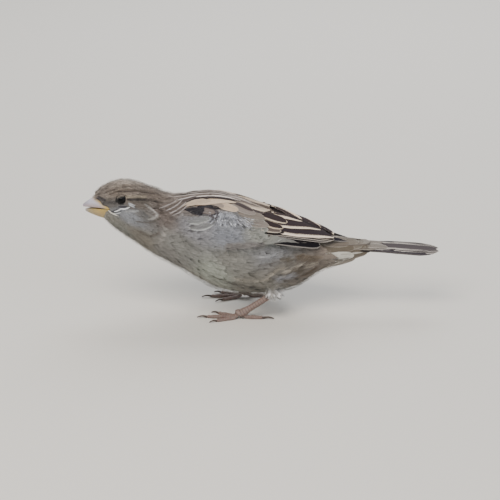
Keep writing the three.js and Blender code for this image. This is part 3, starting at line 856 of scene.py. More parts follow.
class Vanes:
    """Many closed thin vanes, gathered to be made one mesh."""

    def __init__(self):
        self.points, self.faces, self.vane_uv, self.bake_uv = [], [], [], []
        self.heart, self.rim, self.rims = [], [], []
        self.total = 0

    def add(self, grid, heart, rim, rims, roots):
        """grid: count x rows x columns points; the rest is for each vane or each point."""
        count, rows, columns, _ = grid.shape
        number = np.arange(rows * columns).reshape(rows, columns)
        edges = [number[:, 0], number[:, -1]]
        under = [[edges[0][r + 1], edges[1][r + 1], edges[1][r], edges[0][r]] for r in range(rows - 1)]
        ends = [[number[0, i + 1], number[0, i], number[0, 0]] for i in range(1, columns - 1)]
        ends += [[number[-1, 0], number[-1, i], number[-1, i + 1]] for i in range(1, columns - 1)]
        faces = [list(face) for face in grid_quads(number)] + under + ends
        if hollow_volume(grid[0].reshape(-1, 3), faces) < 0:
            faces = [face[::-1] for face in faces]
        size = rows * columns
        start = self.total + np.arange(count)[:, None] * size
        flat_faces = [np.array([face for face in faces if len(face) == n]) for n in (4, 3)]
        placed = [group[None] + start[:, :, None] for group in flat_faces]
        self.faces.append([group.reshape(-1, group.shape[2]) for group in placed])
        self.points.append(grid.reshape(-1, 3))
        u, v = np.meshgrid(np.linspace(0, 1, columns), np.linspace(0, 1, rows))
        vane = np.tile(np.stack([u, v], axis=-1).reshape(1, size, 2), (count, 1, 1))
        self.vane_uv.append(vane.reshape(-1, 2))
        patch = skin_unwrap(roots)[:, None] + (vane - 0.5) * BAKE_PATCH
        self.bake_uv.append(patch.reshape(-1, 2))
        for store, values in ((self.heart, heart), (self.rim, rim), (self.rims, rims)):
            store.append(values if len(values) == count * size else np.repeat(values, size, axis=0))
        self.total += count * size

    def build(self, name, material, slot, *nodes):
        quads, tris = (np.concatenate(kind) for kind in zip(*self.faces))
        mesh = bpy.data.meshes.new(name)
        mesh.vertices.add(self.total)
        set_points(mesh, np.concatenate(self.points))
        corners = np.concatenate([quads.ravel(), tris.ravel()]).astype(np.int32)
        lengths = np.concatenate([np.full(len(quads), 4), np.full(len(tris), 3)])
        mesh.loops.add(len(corners))
        mesh.loops.foreach_set("vertex_index", corners)
        mesh.polygons.add(len(lengths))
        starts = np.concatenate([[0], np.cumsum(lengths)[:-1]]).astype(np.int32)
        mesh.polygons.foreach_set("loop_start", starts)
        for map_name, store in (("Vane", self.vane_uv), ("OFBake", self.bake_uv)):
            layer = mesh.uv_layers.new(name=map_name)
            values = np.concatenate(store)[corners].astype(np.float32)
            layer.data.foreach_set("uv", values.ravel())
        colour_attribute(mesh, "Heart", np.concatenate(self.heart))
        colour_attribute(mesh, "Rim", np.concatenate(self.rim))
        rims = np.concatenate(self.rims)
        colour_attribute(mesh, "Rims", rims[:, :3], rims[:, 3])
        mesh.update(calc_edges=True)
        mesh.validate()
        piece = new_piece(name, mesh)
        smooth_faces(piece, 75)
        dress(piece, material, slot, *nodes)


BAKE_PATCH = 0.003  # size of one feather's patch on the skin's unwrap
BARB_SPACE = 0.32  # millimetres between the barbs, coarser than life to show
BARBS_FOR_WIDTH = 3.2  # length over which the barbs are counted, for each millimetre of width
UNWRAP_START, UNWRAP_LENGTH = 0.02, 0.96  # where the body lies on the unwrap, from bill to tail
UNWRAP_TURN = 375  # degrees round the body for the unwrap's whole height


def skin_unwrap(points):
    """The skin unrolled about the body's axis: each point's place on a sheet from 0 to 1."""
    x, turn = place_of(points).T
    low, high = CAD_BOX[0][0] / MM, CAD_BOX[1][0] / MM
    side = np.where(points[:, 1] < 0, -1, 1)
    across = UNWRAP_START + UNWRAP_LENGTH * (x - low) / (high - low)
    return np.stack([across, 0.5 + side * turn / UNWRAP_TURN], axis=1)


def along_spine(stations, share):
    """Values between the stations of each spine (count x rows x 3), at shares count x rows x columns."""
    rows = stations.shape[1]
    at = share.clip(0, 1) * (rows - 1)
    low = np.minimum(at.astype(int), rows - 2)
    part = (at - low)[..., None]
    which = np.arange(len(stations))[:, None, None]
    return stations[which, low] * (1 - part) + stations[which, low + 1] * part


FOLLOW = 0.3  # how much of the coat's turning a feather follows from one row to the next


def spines(ground, roots, length, wander, rng, lie):
    """Lines that follow the lie of the coat from each root: points, upward and backward directions."""
    here, facing = ground.nearest(roots)
    flow = turned(lie(here, facing), facing, rng.normal(0, wander, len(roots)))
    points, ups, ways = [], [], []
    step = length[:, None] / (VANE_ROWS - 1)
    for _ in range(VANE_ROWS):
        points.append(here)
        ups.append(facing)
        ways.append(flow)
        here, next_facing = ground.nearest(here + flow * step)
        facing = unit(facing + next_facing)
        flow = flat_on(facing, flow + FOLLOW * (lie(here, facing) - flow))
    return [np.stack(stations, axis=1) for stations in (points, ups, ways)]


LIFT, DROOP = 1.8, 0.9  # a feather rises fast at its root and levels out at its tip


def contour_grid(ground, roots, outline, size, camber, wander, rng, lie=lie):
    """Points of contour feathers draped on the ground; `size` is length, width and rise for each.

    The camber is a share of the width, and `wander` the spread of the directions in radians.
    """
    along, across = outline
    length, width, rise = size
    stations = spines(ground, roots, length, wander, rng, lie)
    middle, up, way = (along_spine(values, along) for values in stations)
    sideways = np.cross(up, way)
    grid = middle + sideways * (across * width[:, None, None] / 2)[..., None]
    base, _ = ground.nearest(grid.reshape(-1, 3))
    share = along.clip(0, 1)
    height = rise[:, None, None] * (LIFT * share - DROOP * share**2)
    height += (width * camber)[:, None, None] * (1 - across**2) * share
    return base.reshape(grid.shape) + unit(up) * height[..., None]


def free_grid(roots, ways, ups, outline, size):
    """Points of loose feathers that leave the body: straight at first, then bending outwards."""
    along, across = outline
    length, width, rise = (values[:, None, None] for values in size)
    sideways = np.cross(ups, ways)[:, None, None]
    reach = (along * length)[..., None] * ways[:, None, None]
    out = (rise * along**1.5)[..., None] * ups[:, None, None]
    return roots[:, None, None] + reach + out + sideways * (across * width / 2)[..., None]


def grain(places):
    """Uneven lengthwise streaks, from -1 to 1."""
    x, turn = places[..., 0], places[..., 1]
    drift = np.sin(x * 0.21 + 1.9 * np.sin(turn * 0.11)) + np.sin(x * 0.53 + turn * 0.07)
    return np.sin(turn * 0.62 + 1.7 * drift) * np.sin(x * 0.37 + turn * 0.13 + 2.1 * np.sin(turn * 0.31))


OWN_PLACE = 0.7  # a feather's own colour is the coat's at this share of its points
BACK_TONES = (75, -30)  # degrees round the body where feathers start to differ more, and over how many
CROWN_ROUND, CROWN_ALONG = (52, -12), (-44, -6)  # the same for the streaked crown, round and along
STREAKS, CROWN_STREAKS, CROWN_DARKER = 0.1, 0.3, 0.12
ROOT_SHADE, SHADE_RISE, SHADE_FAST = 0.62, 0.38, 1.6  # a feather is darker at its root
BACK_HEART, RIM_LIGHTER, BACK_RIM = 0.16, 1.07, 0.12  # the back's hearts are darker and its rims lighter


def paint(grid, rng, own=0.3, spread=0.035):
    """Colours for the points of contour feathers: the coat's colour, part of it the feather's own."""
    count, rows, columns, _ = grid.shape
    places = place_of(grid.reshape(-1, 3)).reshape(count, -1, 2)
    colour = coat_colour(places.reshape(-1, 2)).reshape(count, -1, 3)
    own_point = int(rows * columns * OWN_PLACE)
    exposed = colour[:, own_point][:, None]
    turn = places[:, own_point, 1]
    back = ramp(turn, *BACK_TONES)
    tone = np.exp(rng.normal(0, 1, count) * spread * (1 + back))
    colour = (colour * (1 - own) + exposed * own) * tone[:, None, None]
    crown = ramp(turn, *CROWN_ROUND) * ramp(places[:, 0, 0], *CROWN_ALONG)
    streaks = grain(places) * (STREAKS + CROWN_STREAKS * crown)[:, None]
    colour *= np.exp(streaks - CROWN_DARKER * crown[:, None])[..., None]
    share = np.linspace(0, 1, rows).repeat(columns)[None, :, None]
    shade = ROOT_SHADE + SHADE_RISE * np.clip(share * SHADE_FAST, 0, 1)
    heart = colour * shade * (1 - BACK_HEART * back)[:, None, None]
    rim = colour * (RIM_LIGHTER + BACK_RIM * back)[:, None, None]
    return heart.reshape(-1, 3), rim.reshape(-1, 3)


# Where the flight feathers lie bare: no contour feathers root between these lines (degrees) at each x.
BARE_FROM = [(-4, 41), (-2, 32), (3, 14), (9, 6), (16, 8), (24, 14), (30, 26), (34, 38)]
BARE_TO = [(-4, 41), (-2, 50), (0, 60), (4, 65), (14, 67), (20, 66), (25, 61), (30, 50), (34, 40)]
# Lower edge of the mantle feathers.
BACK_EDGE = [(-38, 24), (-33, 38), (-22, 41), (-14, 35), (-4, 33), (6, 30)]
# How far back contour feathers root, for each degree round the body; the tail's coverts take over.
END_OF_COAT = [(0, 30), (60, 30), (75, 23), (112, 23), (125, 34), (180, 36)]


def inside_table(x, table):
    return between(x, (table[0][0], table[-1][0]))


def bare_wing(places):
    x, turn = places.T
    edges = along_table(x, BARE_FROM), along_table(x, BARE_TO)
    return inside_table(x, BARE_FROM) & between(turn, edges)


def under_mantle(places):
    x, turn = places.T
    return inside_table(x, BACK_EDGE) & (turn < along_table(x, BACK_EDGE))


def coated(roots, short=0):
    """Which places on the skin have contour feathers, ending some millimetres short at the rear."""
    places = place_of(roots)
    end = along_table(places[:, 1], END_OF_COAT) - short
    return ~bare_wing(places) & (bill_side(roots) < 0) & (places[:, 0] < end)


# Each piece of the coat takes the feathers in its region that the pieces before it have left.
COAT_PIECES = {
    "coat_face": ("head_plumage", lambda x, turn: x < -56),
    "coat_head": ("head_plumage", lambda x, turn: x < -45),
    "coat_neck": ("body_plumage", lambda x, turn: x < -32),
    "coat_back": ("body_plumage", lambda x, turn: turn < 48),
    "coat_side_front": ("body_plumage", lambda x, turn: (turn < 110) & (x < -8)),
    "coat_side_rear": ("body_plumage", lambda x, turn: turn < 110),
    "coat_belly_front": ("body_plumage", lambda x, turn: x < -8),
    "coat_belly_rear": ("body_plumage", lambda x, turn: x > -100),
}


OVER_BILL = 0.25  # how far a feather may reach over the bill, and how much more on the forehead
FOREHEAD_OVER, FOREHEAD_STARTS = 0.8, 51.5


def clear_of_face(grid, margin):
    """Which feathers keep out of the eyes' openings and off the bill."""
    flat = grid.reshape(-1, 3)
    distance = np.linalg.norm(eye_share(flat, margin), axis=1).reshape(len(grid), -1)
    ahead = bill_side(flat) - np.where(flat[:, 2] > FOREHEAD_STARTS * MM, FOREHEAD_OVER, 0.0)
    return (distance.min(axis=1) > 1) & (ahead.reshape(len(grid), -1).max(axis=1) < OVER_BILL)


LEAST_HEIGHT = 0.3  # square of the eyeball's least height, so that the rings round it don't close


def on_eye(side, grow, turn, over):
    """Points `grow` millimetres outside an eye's opening and `over` above the eyeball, and the way out."""
    along, rise = (EYE_OPEN[0] + grow) * np.cos(turn), (EYE_OPEN[1] + grow) * np.sin(turn)
    away = np.minimum(np.hypot(along, rise), EYE_RADIUS)
    height = np.sqrt(np.maximum(EYE_RADIUS**2 - away**2, LEAST_HEIGHT))
    x = along * math.cos(EYE_TILT) - rise * math.sin(EYE_TILT)
    z = rise * math.cos(EYE_TILT) + along * math.sin(EYE_TILT)
    out = np.stack([x, SIDES[side] * height, z], axis=1)
    return EYE_MIDDLES[side] + (out + unit(out) * over) * MM, unit(out)


# Rings of tiny feathers round the eye: millimetres outside the opening, how many, and their length.
EYE_RINGS = [(0.12, 44, 0.8), (0.38, 46, 1.0), (0.7, 50, 1.3)]
EYE_RING_WIDTH, EYE_RING_RISE = 0.42, -0.12
SWEEP = [0.35, 0.0, 0.0]  # they lean backwards


def eye_feathers(rng):
    """The tiny feathers that run out from the lids' rims."""
    grids, roots = [], []
    for side in SIDES:
        for grow, count, length in EYE_RINGS:
            turn = np.linspace(0, 2 * math.pi, count, endpoint=False) + rng.uniform(0, 0.1, count) + grow
            start, ups = on_eye(side, grow, turn, 0.04)
            ways = flat_on(ups, unit(on_eye(side, grow + 0.5, turn, 0)[0] - start) + SWEEP)
            outline = contour_outline(5, np.full(count, 0.1), rng)
            size_mm = (length, EYE_RING_WIDTH, EYE_RING_RISE)
            size = [value * MM * rng.uniform(0.8, 1.2, count) for value in size_mm]
            grids.append(free_grid(start, ways, ups, outline, size))
            roots.append(start)
    grid = np.concatenate(grids)
    heart, rim = paint(grid, rng, 0.3, 0.1)
    return grid, heart, rim, np.zeros((len(grid), 4)), np.concatenate(roots), np.ones(len(grid), bool)


def feather_sizes(points):
    return blend_table(FEATHER_SIZES, place_of(points), "sizes")


def spacing(points):
    return feather_sizes(points)[:, 2] * MM


SIZE_SPREAD, NOTCHES, RIM_SHARES = (0.82, 1.18), (0.04, 0.16), (0.06, 0.16)
MANTLE_RISE = 0.7  # the coat lies lower where mantle feathers cover it


def full_feathers(ground, rng):
    """Contour feathers all over the skin."""
    roots = ground.scatter(spacing, rng)
    roots = roots[coated(roots)]
    count = len(roots)
    sizes_here = feather_sizes(roots) * MM
    length, width, rise = (sizes_here[:, i] * rng.uniform(*SIZE_SPREAD, count) for i in (0, 1, 3))
    outline = contour_outline(VANE_COLUMNS, rng.uniform(*NOTCHES, count), rng)
    rise = rise * np.where(under_mantle(place_of(roots)), MANTLE_RISE, 1)
    grid = contour_grid(ground, roots, outline, (length, width, rise), 0.02, 0.13, rng)
    heart, rim = paint(grid, rng)
    barbs = 1 / BARBS_STORED * width / MM / BARB_SPACE * BARBS_FOR_WIDTH
    rims = np.stack([rng.uniform(*RIM_SHARES, count)] * 3 + [barbs], axis=1)
    return grid, heart, rim, rims, roots, clear_of_face(grid, 0.15)


THREAD_SPACING = 0.4  # share of the feathers' own spacing
THREAD_WIDTH = 0.16  # millimetres, where feathers are this wide
THREAD_FEATHER = 4
THREAD_LENGTHS, THREAD_RISES = (0.5, 1.0), (0.95, 1.35)
THREAD_STANDS = 0.45  # share of their rise that they stand off the coat at the root
THREAD_LIGHTER = 1.08
THREADS_SHORT = 3  # they end this much short of the last feathers
RIDGE = 3  # degrees round the body: on the ridge of the back they also grow where mantle feathers lie


def loose_barbs(ground, rng):
    """Fine barbs that stand a little proud and soften the edges."""
    roots = ground.scatter(lambda points: spacing(points) * THREAD_SPACING, rng, 6)
    places = place_of(roots)
    roots = roots[coated(roots, THREADS_SHORT) & ~(under_mantle(places) & (places[:, 1] > RIDGE))]
    count = len(roots)
    sizes_here = feather_sizes(roots) * MM
    length = sizes_here[:, 0] * rng.uniform(*THREAD_LENGTHS, count)
    width = np.full(count, THREAD_WIDTH * MM) * (sizes_here[:, 1] / (THREAD_FEATHER * MM)) ** 0.5
    rise = sizes_here[:, 3] * rng.uniform(*THREAD_RISES, count)
    along, across = contour_outline(3, np.zeros(count), rng)
    outline = along.clip(0, 1), across * np.linspace(1, 0.25, VANE_ROWS)[None, :, None]
    grid = contour_grid(ground, roots, outline, (length, width, rise), 0.5, 0.2, rng)
    grid += rise[:, None, None, None] * THREAD_STANDS * ground.nearest(roots)[1][:, None, None]
    heart, rim = (colour * THREAD_LIGHTER for colour in paint(grid, rng, 0.2, 0.17))
    return grid, heart, rim, np.zeros((count, 4)), roots, clear_of_face(grid, 0.25)


class SPARROW_OT_coat(bpy.types.Operator):
    """Contour feathers and loose barbs laid over the whole skin along the lie of the coat"""

    bl_idname = "sparrow.coat"
    bl_label = "Coat"

    def execute(self, context):
        rng = seeded()
        ground = Ground(bpy.data.objects["skin"])
        material = feather_material("Contour feathers", 0.85, 0.05, 0.35)
        kinds = [full_feathers(ground, rng), eye_feathers(rng), loose_barbs(ground, rng)]
        taken = [np.zeros(len(kind[0]), bool) for kind in kinds]
        for name, (slot, inside) in COAT_PIECES.items():
            vanes = Vanes()
            for (grid, heart, rim, rims, roots, clear), done in zip(kinds, taken):
                mine = inside(*place_of(roots).T) & ~done & clear
                done |= mine
                if mine.any():
                    both = [c.reshape(len(grid), -1, 3)[mine].reshape(-1, 3) for c in (heart, rim)]
                    vanes.add(grid[mine], *both, rims[mine], roots[mine])
            vanes.build(name, material, slot)
        return {"FINISHED"}


# ---- Tufts ----


def nasal_lie(points, facing):
    """Forwards over the base of the bill."""
    return flat_on(facing, np.tile([-1.0, 0.0, -0.15], (len(points), 1)))


def loose(roots, ways, ups, size_mm, columns, rng):
    """Grids of loose feathers or barbs of about the given sizes in millimetres."""
    count = len(roots)
    outline = contour_outline(columns, np.full(count, 0.12), rng)
    size = [value * MM * rng.uniform(0.7, 1.3, count) for value in size_mm]
    return free_grid(roots, ways, ups, outline, size)


def plain_paint(grid, hex_colours, rng, spread):
    """One of the colours for each feather, a little lighter or darker."""
    count, rows, columns, _ = grid.shape
    choices = np.array([linear(hex_colour) for hex_colour in hex_colours])
    pick = choices[rng.integers(0, len(choices), count)]
    pick = pick * np.exp(rng.normal(0, spread, count))[:, None]
    return np.repeat(pick, rows * columns, axis=0)


def evenly(spacing_mm):
    return lambda points: np.full(len(points), spacing_mm * MM)


def same_rims(rims, grid):
    return np.tile(rims, (len(grid), 1))


# Feathers over the nostrils: spacing, points across, length, width, rise, and how light they are.
NOSTRIL_FEATHERS = [(0.4, 5, 2.0, 0.55, 0.7, 0.95), (0.24, 3, 2.5, 0.13, 0.9, 1.15)]
NOSTRIL_AHEAD = (-2.2, 0.5)  # millimetres in front of the feathers' edge, between which they root
NOSTRIL_HEIGHTS = (50.2, 56)
NOSTRIL_REAR = -65.5


def nostril_feathers(vanes, skin, rng):
    ground = Ground(skin, bpy.data.objects["bill_half_upper"])
    for spacing_mm, columns, *size_mm, tone in NOSTRIL_FEATHERS:
        roots = Ground(skin).scatter(evenly(spacing_mm), rng)
        near = between(bill_side(roots), NOSTRIL_AHEAD) & (roots[:, 0] < NOSTRIL_REAR * MM)
        roots = roots[near & between(roots[:, 2], np.array(NOSTRIL_HEIGHTS) * MM)]
        count = len(roots)
        outline = contour_outline(columns, np.full(count, 0.15), rng)
        size = [value * MM * rng.uniform(0.75, 1.25, count) for value in size_mm]
        grid = contour_grid(ground, roots, outline, size, 0.1, 0.25, rng, nasal_lie)
        heart, rim = paint(grid, rng, 0.3, 0.16)
        vanes.add(grid, heart * tone, rim * tone, same_rims([0.1, 0.1, 0.1, 0.0], grid), roots)


# Fluff round the heels: spacing, points across, length, width and rise.
HEEL_FLUFF = [(0.6, 7, 3.4, 1.5, 1.3), (0.3, 3, 3.7, 0.16, 1.9)]
HEEL_COLOURS = ["#d0d0d0", "#bfbdba", "#e0e0e0", "#a8a5a1"]
HEEL_TOP = 13.5
HEEL_SUNK = 0.5  # millimetres that its roots lie inside the thigh


def heel_fluff(vanes, rng):
    for side, sign in SIDES.items():
        thigh = Ground(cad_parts[f"thigh_{side}"])
        for spacing_mm, columns, *size_mm in HEEL_FLUFF:
            roots = thigh.scatter(evenly(spacing_mm), rng)
            roots = roots[roots[:, 2] < HEEL_TOP * MM]
            outward = thigh.nearest(roots)[1]
            down = np.array([0.2, 0.06 * sign, -0.8])
            ways = unit(down + outward * 0.5 + rng.normal(0, 0.16, (len(roots), 3)))
            ups = flat_on(ways, outward)
            grid = loose(roots - outward * HEEL_SUNK * MM, ways, ups, size_mm, columns, rng)
            colour = plain_paint(grid, HEEL_COLOURS, rng, 0.08)
            vanes.add(grid, colour * 0.92, colour, same_rims([0.15, 0.15, 0.1, 0.1], grid), roots)


RUFFLE_ALONG, RUFFLE_ROUND = (-20.5, -6), (34, 47)  # the places between which the ruffled barbs root
RUFFLE_MIDDLE, RUFFLE_FAN = -15, 8  # they lean forwards in front of this place, backwards behind it
RUFFLE_SIZE = (3.4, 0.26, 0.5)
RUFFLE_COLOURS = ["#e4e7ef", "#a5a8b1", "#5a5b61", "#c2c5cd", "#84868d"]


def ruffled_barbs(vanes, ground, rng):
    roots = ground.scatter(evenly(0.42), rng)
    x, turn = place_of(roots).T
    roots = roots[between(x, RUFFLE_ALONG) & between(turn, RUFFLE_ROUND)]
    here, facing = ground.nearest(roots)
    fan = (roots[:, 0] / MM - RUFFLE_MIDDLE) / RUFFLE_FAN
    ways = np.stack([fan, np.zeros(len(roots)), -np.ones(len(roots))], axis=1)
    ways = flat_on(facing, ways + rng.normal(0, 0.16, (len(roots), 3)))
    grid = loose(here + facing * 1.2 * MM, ways, facing, RUFFLE_SIZE, 3, rng)
    colour = plain_paint(grid, RUFFLE_COLOURS, rng, 0.12)
    vanes.add(grid, colour, colour, np.zeros((len(roots), 4)), roots)


CROWN_COAT, FACE_COAT = 1.1, 0.75  # thickness of the coat in millimetres


class SPARROW_OT_tufts(bpy.types.Operator):
    """Feathers over the nostrils, pale fluff at the heels and ruffled barbs on the wing's front"""

    bl_idname = "sparrow.tufts"
    bl_label = "Tufts"

    def execute(self, context):
        rng = seeded(4)
        skin = bpy.data.objects["skin"]
        ground = Ground(skin)
        material = feather_material("Loose down", 0.9, 0.05, 0.3)
        vanes = Vanes()
        nostril_feathers(vanes, skin, rng)
        heel_fluff(vanes, rng)
        ruffled_barbs(vanes, ground, rng)
        vanes.build("tufts", material, "body_plumage")

        # feathers that stand out on crown and face
        marks = Vanes()
        for sign in SIDES.values():
            lay_blades(marks, Layers(ground, sign, [(0, -CROWN_COAT)]), CROWN_FEATHERS, rng, CROWN_VANE)
            lay_blades(marks, Layers(ground, sign, [(0, -FACE_COAT)]), FACE_FEATHERS, rng, FACE_VANE)
        marks.build("face_feathers", material, "head_plumage")
        return {"FINISHED"}


# ---- Flight feathers ----

BLADE_ROWS = 17
BLADE_COLUMNS = 11
BLADE_CLOSING = 1.45  # the rows lie closer together towards the tip
MM_PER_DEGREE = 0.22  # round the body, near the wings
BLADE_BARB_SPACE = 0.19
BLADE_RISE, BLADE_ROLL = 0.05, 0.06  # how much higher the tip lies, and the low edge than the high one
BLADE_GAP = 0.06  # between a blade and what it lies on
BLADE_CAMBER = 0.02  # share of the width
QUILL_SINK, QUILL_SHARE = 0.6, 0.3  # the quill sits in the coat: how deep, and over how much of the length
TOO_FAR = 4  # a surface that much further out is not below a blade
LEAST_RADIUS = 0.2  # share of a blade's greatest distance from the axis
RAY_START = 0.06  # metres from the body's axis, well outside it
# Half width along a blade from root to tip, for each shape of tip.
BLADE_SHAPES = {
    "round": ([0, 0.12, 0.4, 0.7, 0.86, 0.95, 1], [0.45, 0.75, 1, 0.96, 0.78, 0.5, 0.06]),
    "blunt": ([0, 0.12, 0.4, 0.8, 0.93, 0.98, 1], [0.5, 0.8, 1, 1, 0.84, 0.5, 0.1]),
    "pointed": ([0, 0.15, 0.45, 0.7, 0.85, 0.95, 1], [0.5, 0.85, 1, 0.82, 0.58, 0.3, 0.04]),
    "wedge": ([0, 0.2, 0.6, 0.88, 0.96, 1], [0.04, 0.22, 0.8, 1, 0.7, 0.1]),
    "leaf": ([0, 0.2, 0.45, 0.7, 0.85, 0.95, 1], [0.1, 0.5, 1, 0.9, 0.62, 0.3, 0.04]),
    "tail": ([0, 0.25, 0.45, 0.7, 0.92, 0.98, 1], [0.22, 0.5, 0.85, 1, 0.86, 0.5, 0.1]),
}

# Each blade: name, root and tip places, width, bend in degrees, colours of heart and rim, share of the
# vane that the rim takes (low side, high side, tip) and the shape. A row may leave out the last one or
# two, which are COMMON_VANE's then. Both sides take the same rows.
COMMON_VANE = ((0.1, 0.1, 0.04), "round")
OWN_VALUES = 7  # how many values each row gives at least
FLIGHT_FEATHERS = [
    ("primary 9", (12, 36), (38.4, 15), 4.6, 0, "#26242a", "#96918c", (0.04, 0.02, 0.02), "pointed"),
    ("primary 8", (12, 40), (36.6, 22), 4.6, 0, "#222026", "#a09b95", (0.04, 0.02, 0.02), "pointed"),
    ("primary 7", (12, 44), (34.6, 29), 4.6, 0, "#222026", "#a09b95", (0.04, 0.02, 0.02), "pointed"),
    ("primary 3", (3, 57), (24.4, 57), 5, 0, "#19171b", "#a8a29b", (0.05, 0, 0.03), "blunt"),
    ("primary 4", (2.5, 49), (28.2, 43), 4.8, 0, "#201e22", "#a39c95", (0.05, 0, 0.02), "blunt"),
    ("secondary 4", (2, 47.5), (29.6, 38.5), 4.8, 0, "#231f21", "#b0a89f", (0.06, 0, 0.02), "blunt"),
    ("secondary 3", (2, 45), (30.6, 33), 4.8, 0, "#282325", "#aba297", (0.07, 0, 0.02), "blunt"),
    ("innermost", (0, 8), (30.4, 5), 5.4, 0, "#2a2426", "#3b3334", (0.03, 0.03, 0.02)),
    ("tertial 3", (2, 40.5), (30.8, 20), 7.2, 6, "#322b2f", "#e8d7c3", (0.18, 0, 0.05)),
    ("tertial 2", (0, 33), (25.6, 4), 6.8, 6, "#352c2f", "#e4d2bd", (0.18, 0, 0.06)),
    ("tertial 1", (-3, 22), (17.4, 3), 5, 2.5, "#3a3031", "#e2cfba", (0.42, 0, 0.09)),
    ("covert 4", (-5, 43), (8.2, 44.5), 3.2, 0, "#5d5450", "#aca193", (0.18, 0.04, 0.1)),
    ("covert 3", (-4, 34), (9, 39), 3.4, 0, "#342c2d", "#c0b09a", (0.2, 0.03, 0.08)),
    ("covert 2", (-4, 20), (10.8, 26), 5.2, 0, "#322a2c", "#c6b6a0", (0.14, 0.05, 0.08)),
    ("covert 1", (-6, 10), (6, 13), 4, 0, "#39312f", "#5d534f", (0.06, 0.03, 0.05)),
]
TAIL_COVERTS = [
    ("under covert", (22, 110), (38.5, 112), 5, 0, "#4f4840", "#8a8379"),
    ("under covert", (22, 128), (40, 126), 5.6, 0, "#625b52", "#989187"),
    ("under covert", (24, 152), (41, 150), 6, 0, "#7d756b", "#a49d92"),
    ("under covert", (26, 174), (43, 174), 6, 0, "#878076", "#aba499"),
    ("covert", (29, 30), (45.5, 34), 5, 0, "#756e65", "#8d867b", (0.13, 0.05, 0.09)),
    ("covert", (28, 8), (45, 9), 5.2, 0, "#6f685e", "#837c72", (0.1, 0.1, 0.06)),
    ("side covert", (25, 72), (45.5, 74), 4.4, 0, "#5b5349", "#776f65", (0.08, 0.05, 0.06)),
    ("rump", (26, 44), (43, 48), 5.2, 0, "#6c655b", "#857e74", (0.13, 0.06, 0.09)),
    ("rump", (25, 22), (41.5, 26), 5.2, 0, "#6e675e", "#857e75", (0.12, 0.1, 0.08)),
    ("rump", (24, 4), (40, 6), 5, 0, "#615a50", "#726b62", (0.1, 0.1, 0.08)),
    ("rump", (22, 60), (39.5, 64), 4.8, 0, "#5b5348", "#766f65", (0.1, 0.06, 0.08)),
    ("rump", (22, 36), (37.5, 40), 5, 0, "#655d54", "#766f65", (0.1, 0.08, 0.08)),
    ("rump", (21, 14), (36, 18), 5, 0, "#665e55", "#787168", (0.1, 0.08, 0.08)),
    # painted shadow: the white covert's dark rim along its low edge stands for the shadow below it
    ("white covert", (20, 98), (39.3, 102), 5.6, 0, "#b7b4aa", "#4a4239", (0.1, 0, 0.02)),
    ("white streak", (31, 86), (43, 93), 0.9, 3, "#a9a59b", "#b9b5ac", (0.1, 0.1, 0.1), "pointed"),
]
# Dark feathers on the crown, and pale and dark ones that stand out on the face. After each table come the
# rims and shape that its feathers share.
CROWN_FEATHERS = [
    ("streak to the nape", (-47, 17), (-42.5, 12), 0.9, 0, "#51483f", "#5f554c"),
    ("rear crown streak", (-51.5, 23), (-46, 18), 1, 0, "#4b423b", "#5b5149"),
    ("crown streak", (-61, 33), (-52.8, 25), 0.8, 2, "#554b43", "#655b52"),
    ("crown streak above", (-59, 23), (-52, 16), 0.7, 0, "#655b52", "#71675d"),
    ("forehead streak", (-66, 27), (-61, 27), 0.6, 0, "#6a6059", "#766c64"),
    ("forehead streak", (-65.5, 14), (-61, 14), 0.6, 0, "#6a6059", "#766c64"),
]
CROWN_VANE = ((0.1, 0.1, 0.05), "pointed")
FACE_FEATHERS = [
    ("gape slit", (-63.6, 95), (-59, 78), 0.9, -2, "#38383d", "#3e3e43"),
    ("line under the eye", (-60.6, 73), (-56.4, 63), 0.8, 0, "#434348", "#4a4a50"),
    ("white arc", (-62.6, 99), (-59, 85), 0.45, 2, "#c3c6ca", "#d2d5d8"),
    ("white arc", (-63, 91), (-58.2, 71), 0.6, 3, "#dadde1", "#e4e6e9"),
    ("white arc", (-60, 76), (-55.2, 62), 0.65, 3, "#d3d6da", "#dfe2e5"),
    ("pale tuft", (-56.2, 55), (-53, 56), 0.6, 0, "#a4a7ab", "#b4b7ba"),
    ("pale tuft", (-56, 58), (-53.2, 60), 0.6, 0, "#a0a3a7", "#aeb1b4"),
    ("fleck by the gape", (-65, 93), (-60, 101), 0.65, 2, "#cfccc0", "#dad8cf"),
]
FACE_VANE = ((0.1, 0.1, 0), "pointed")
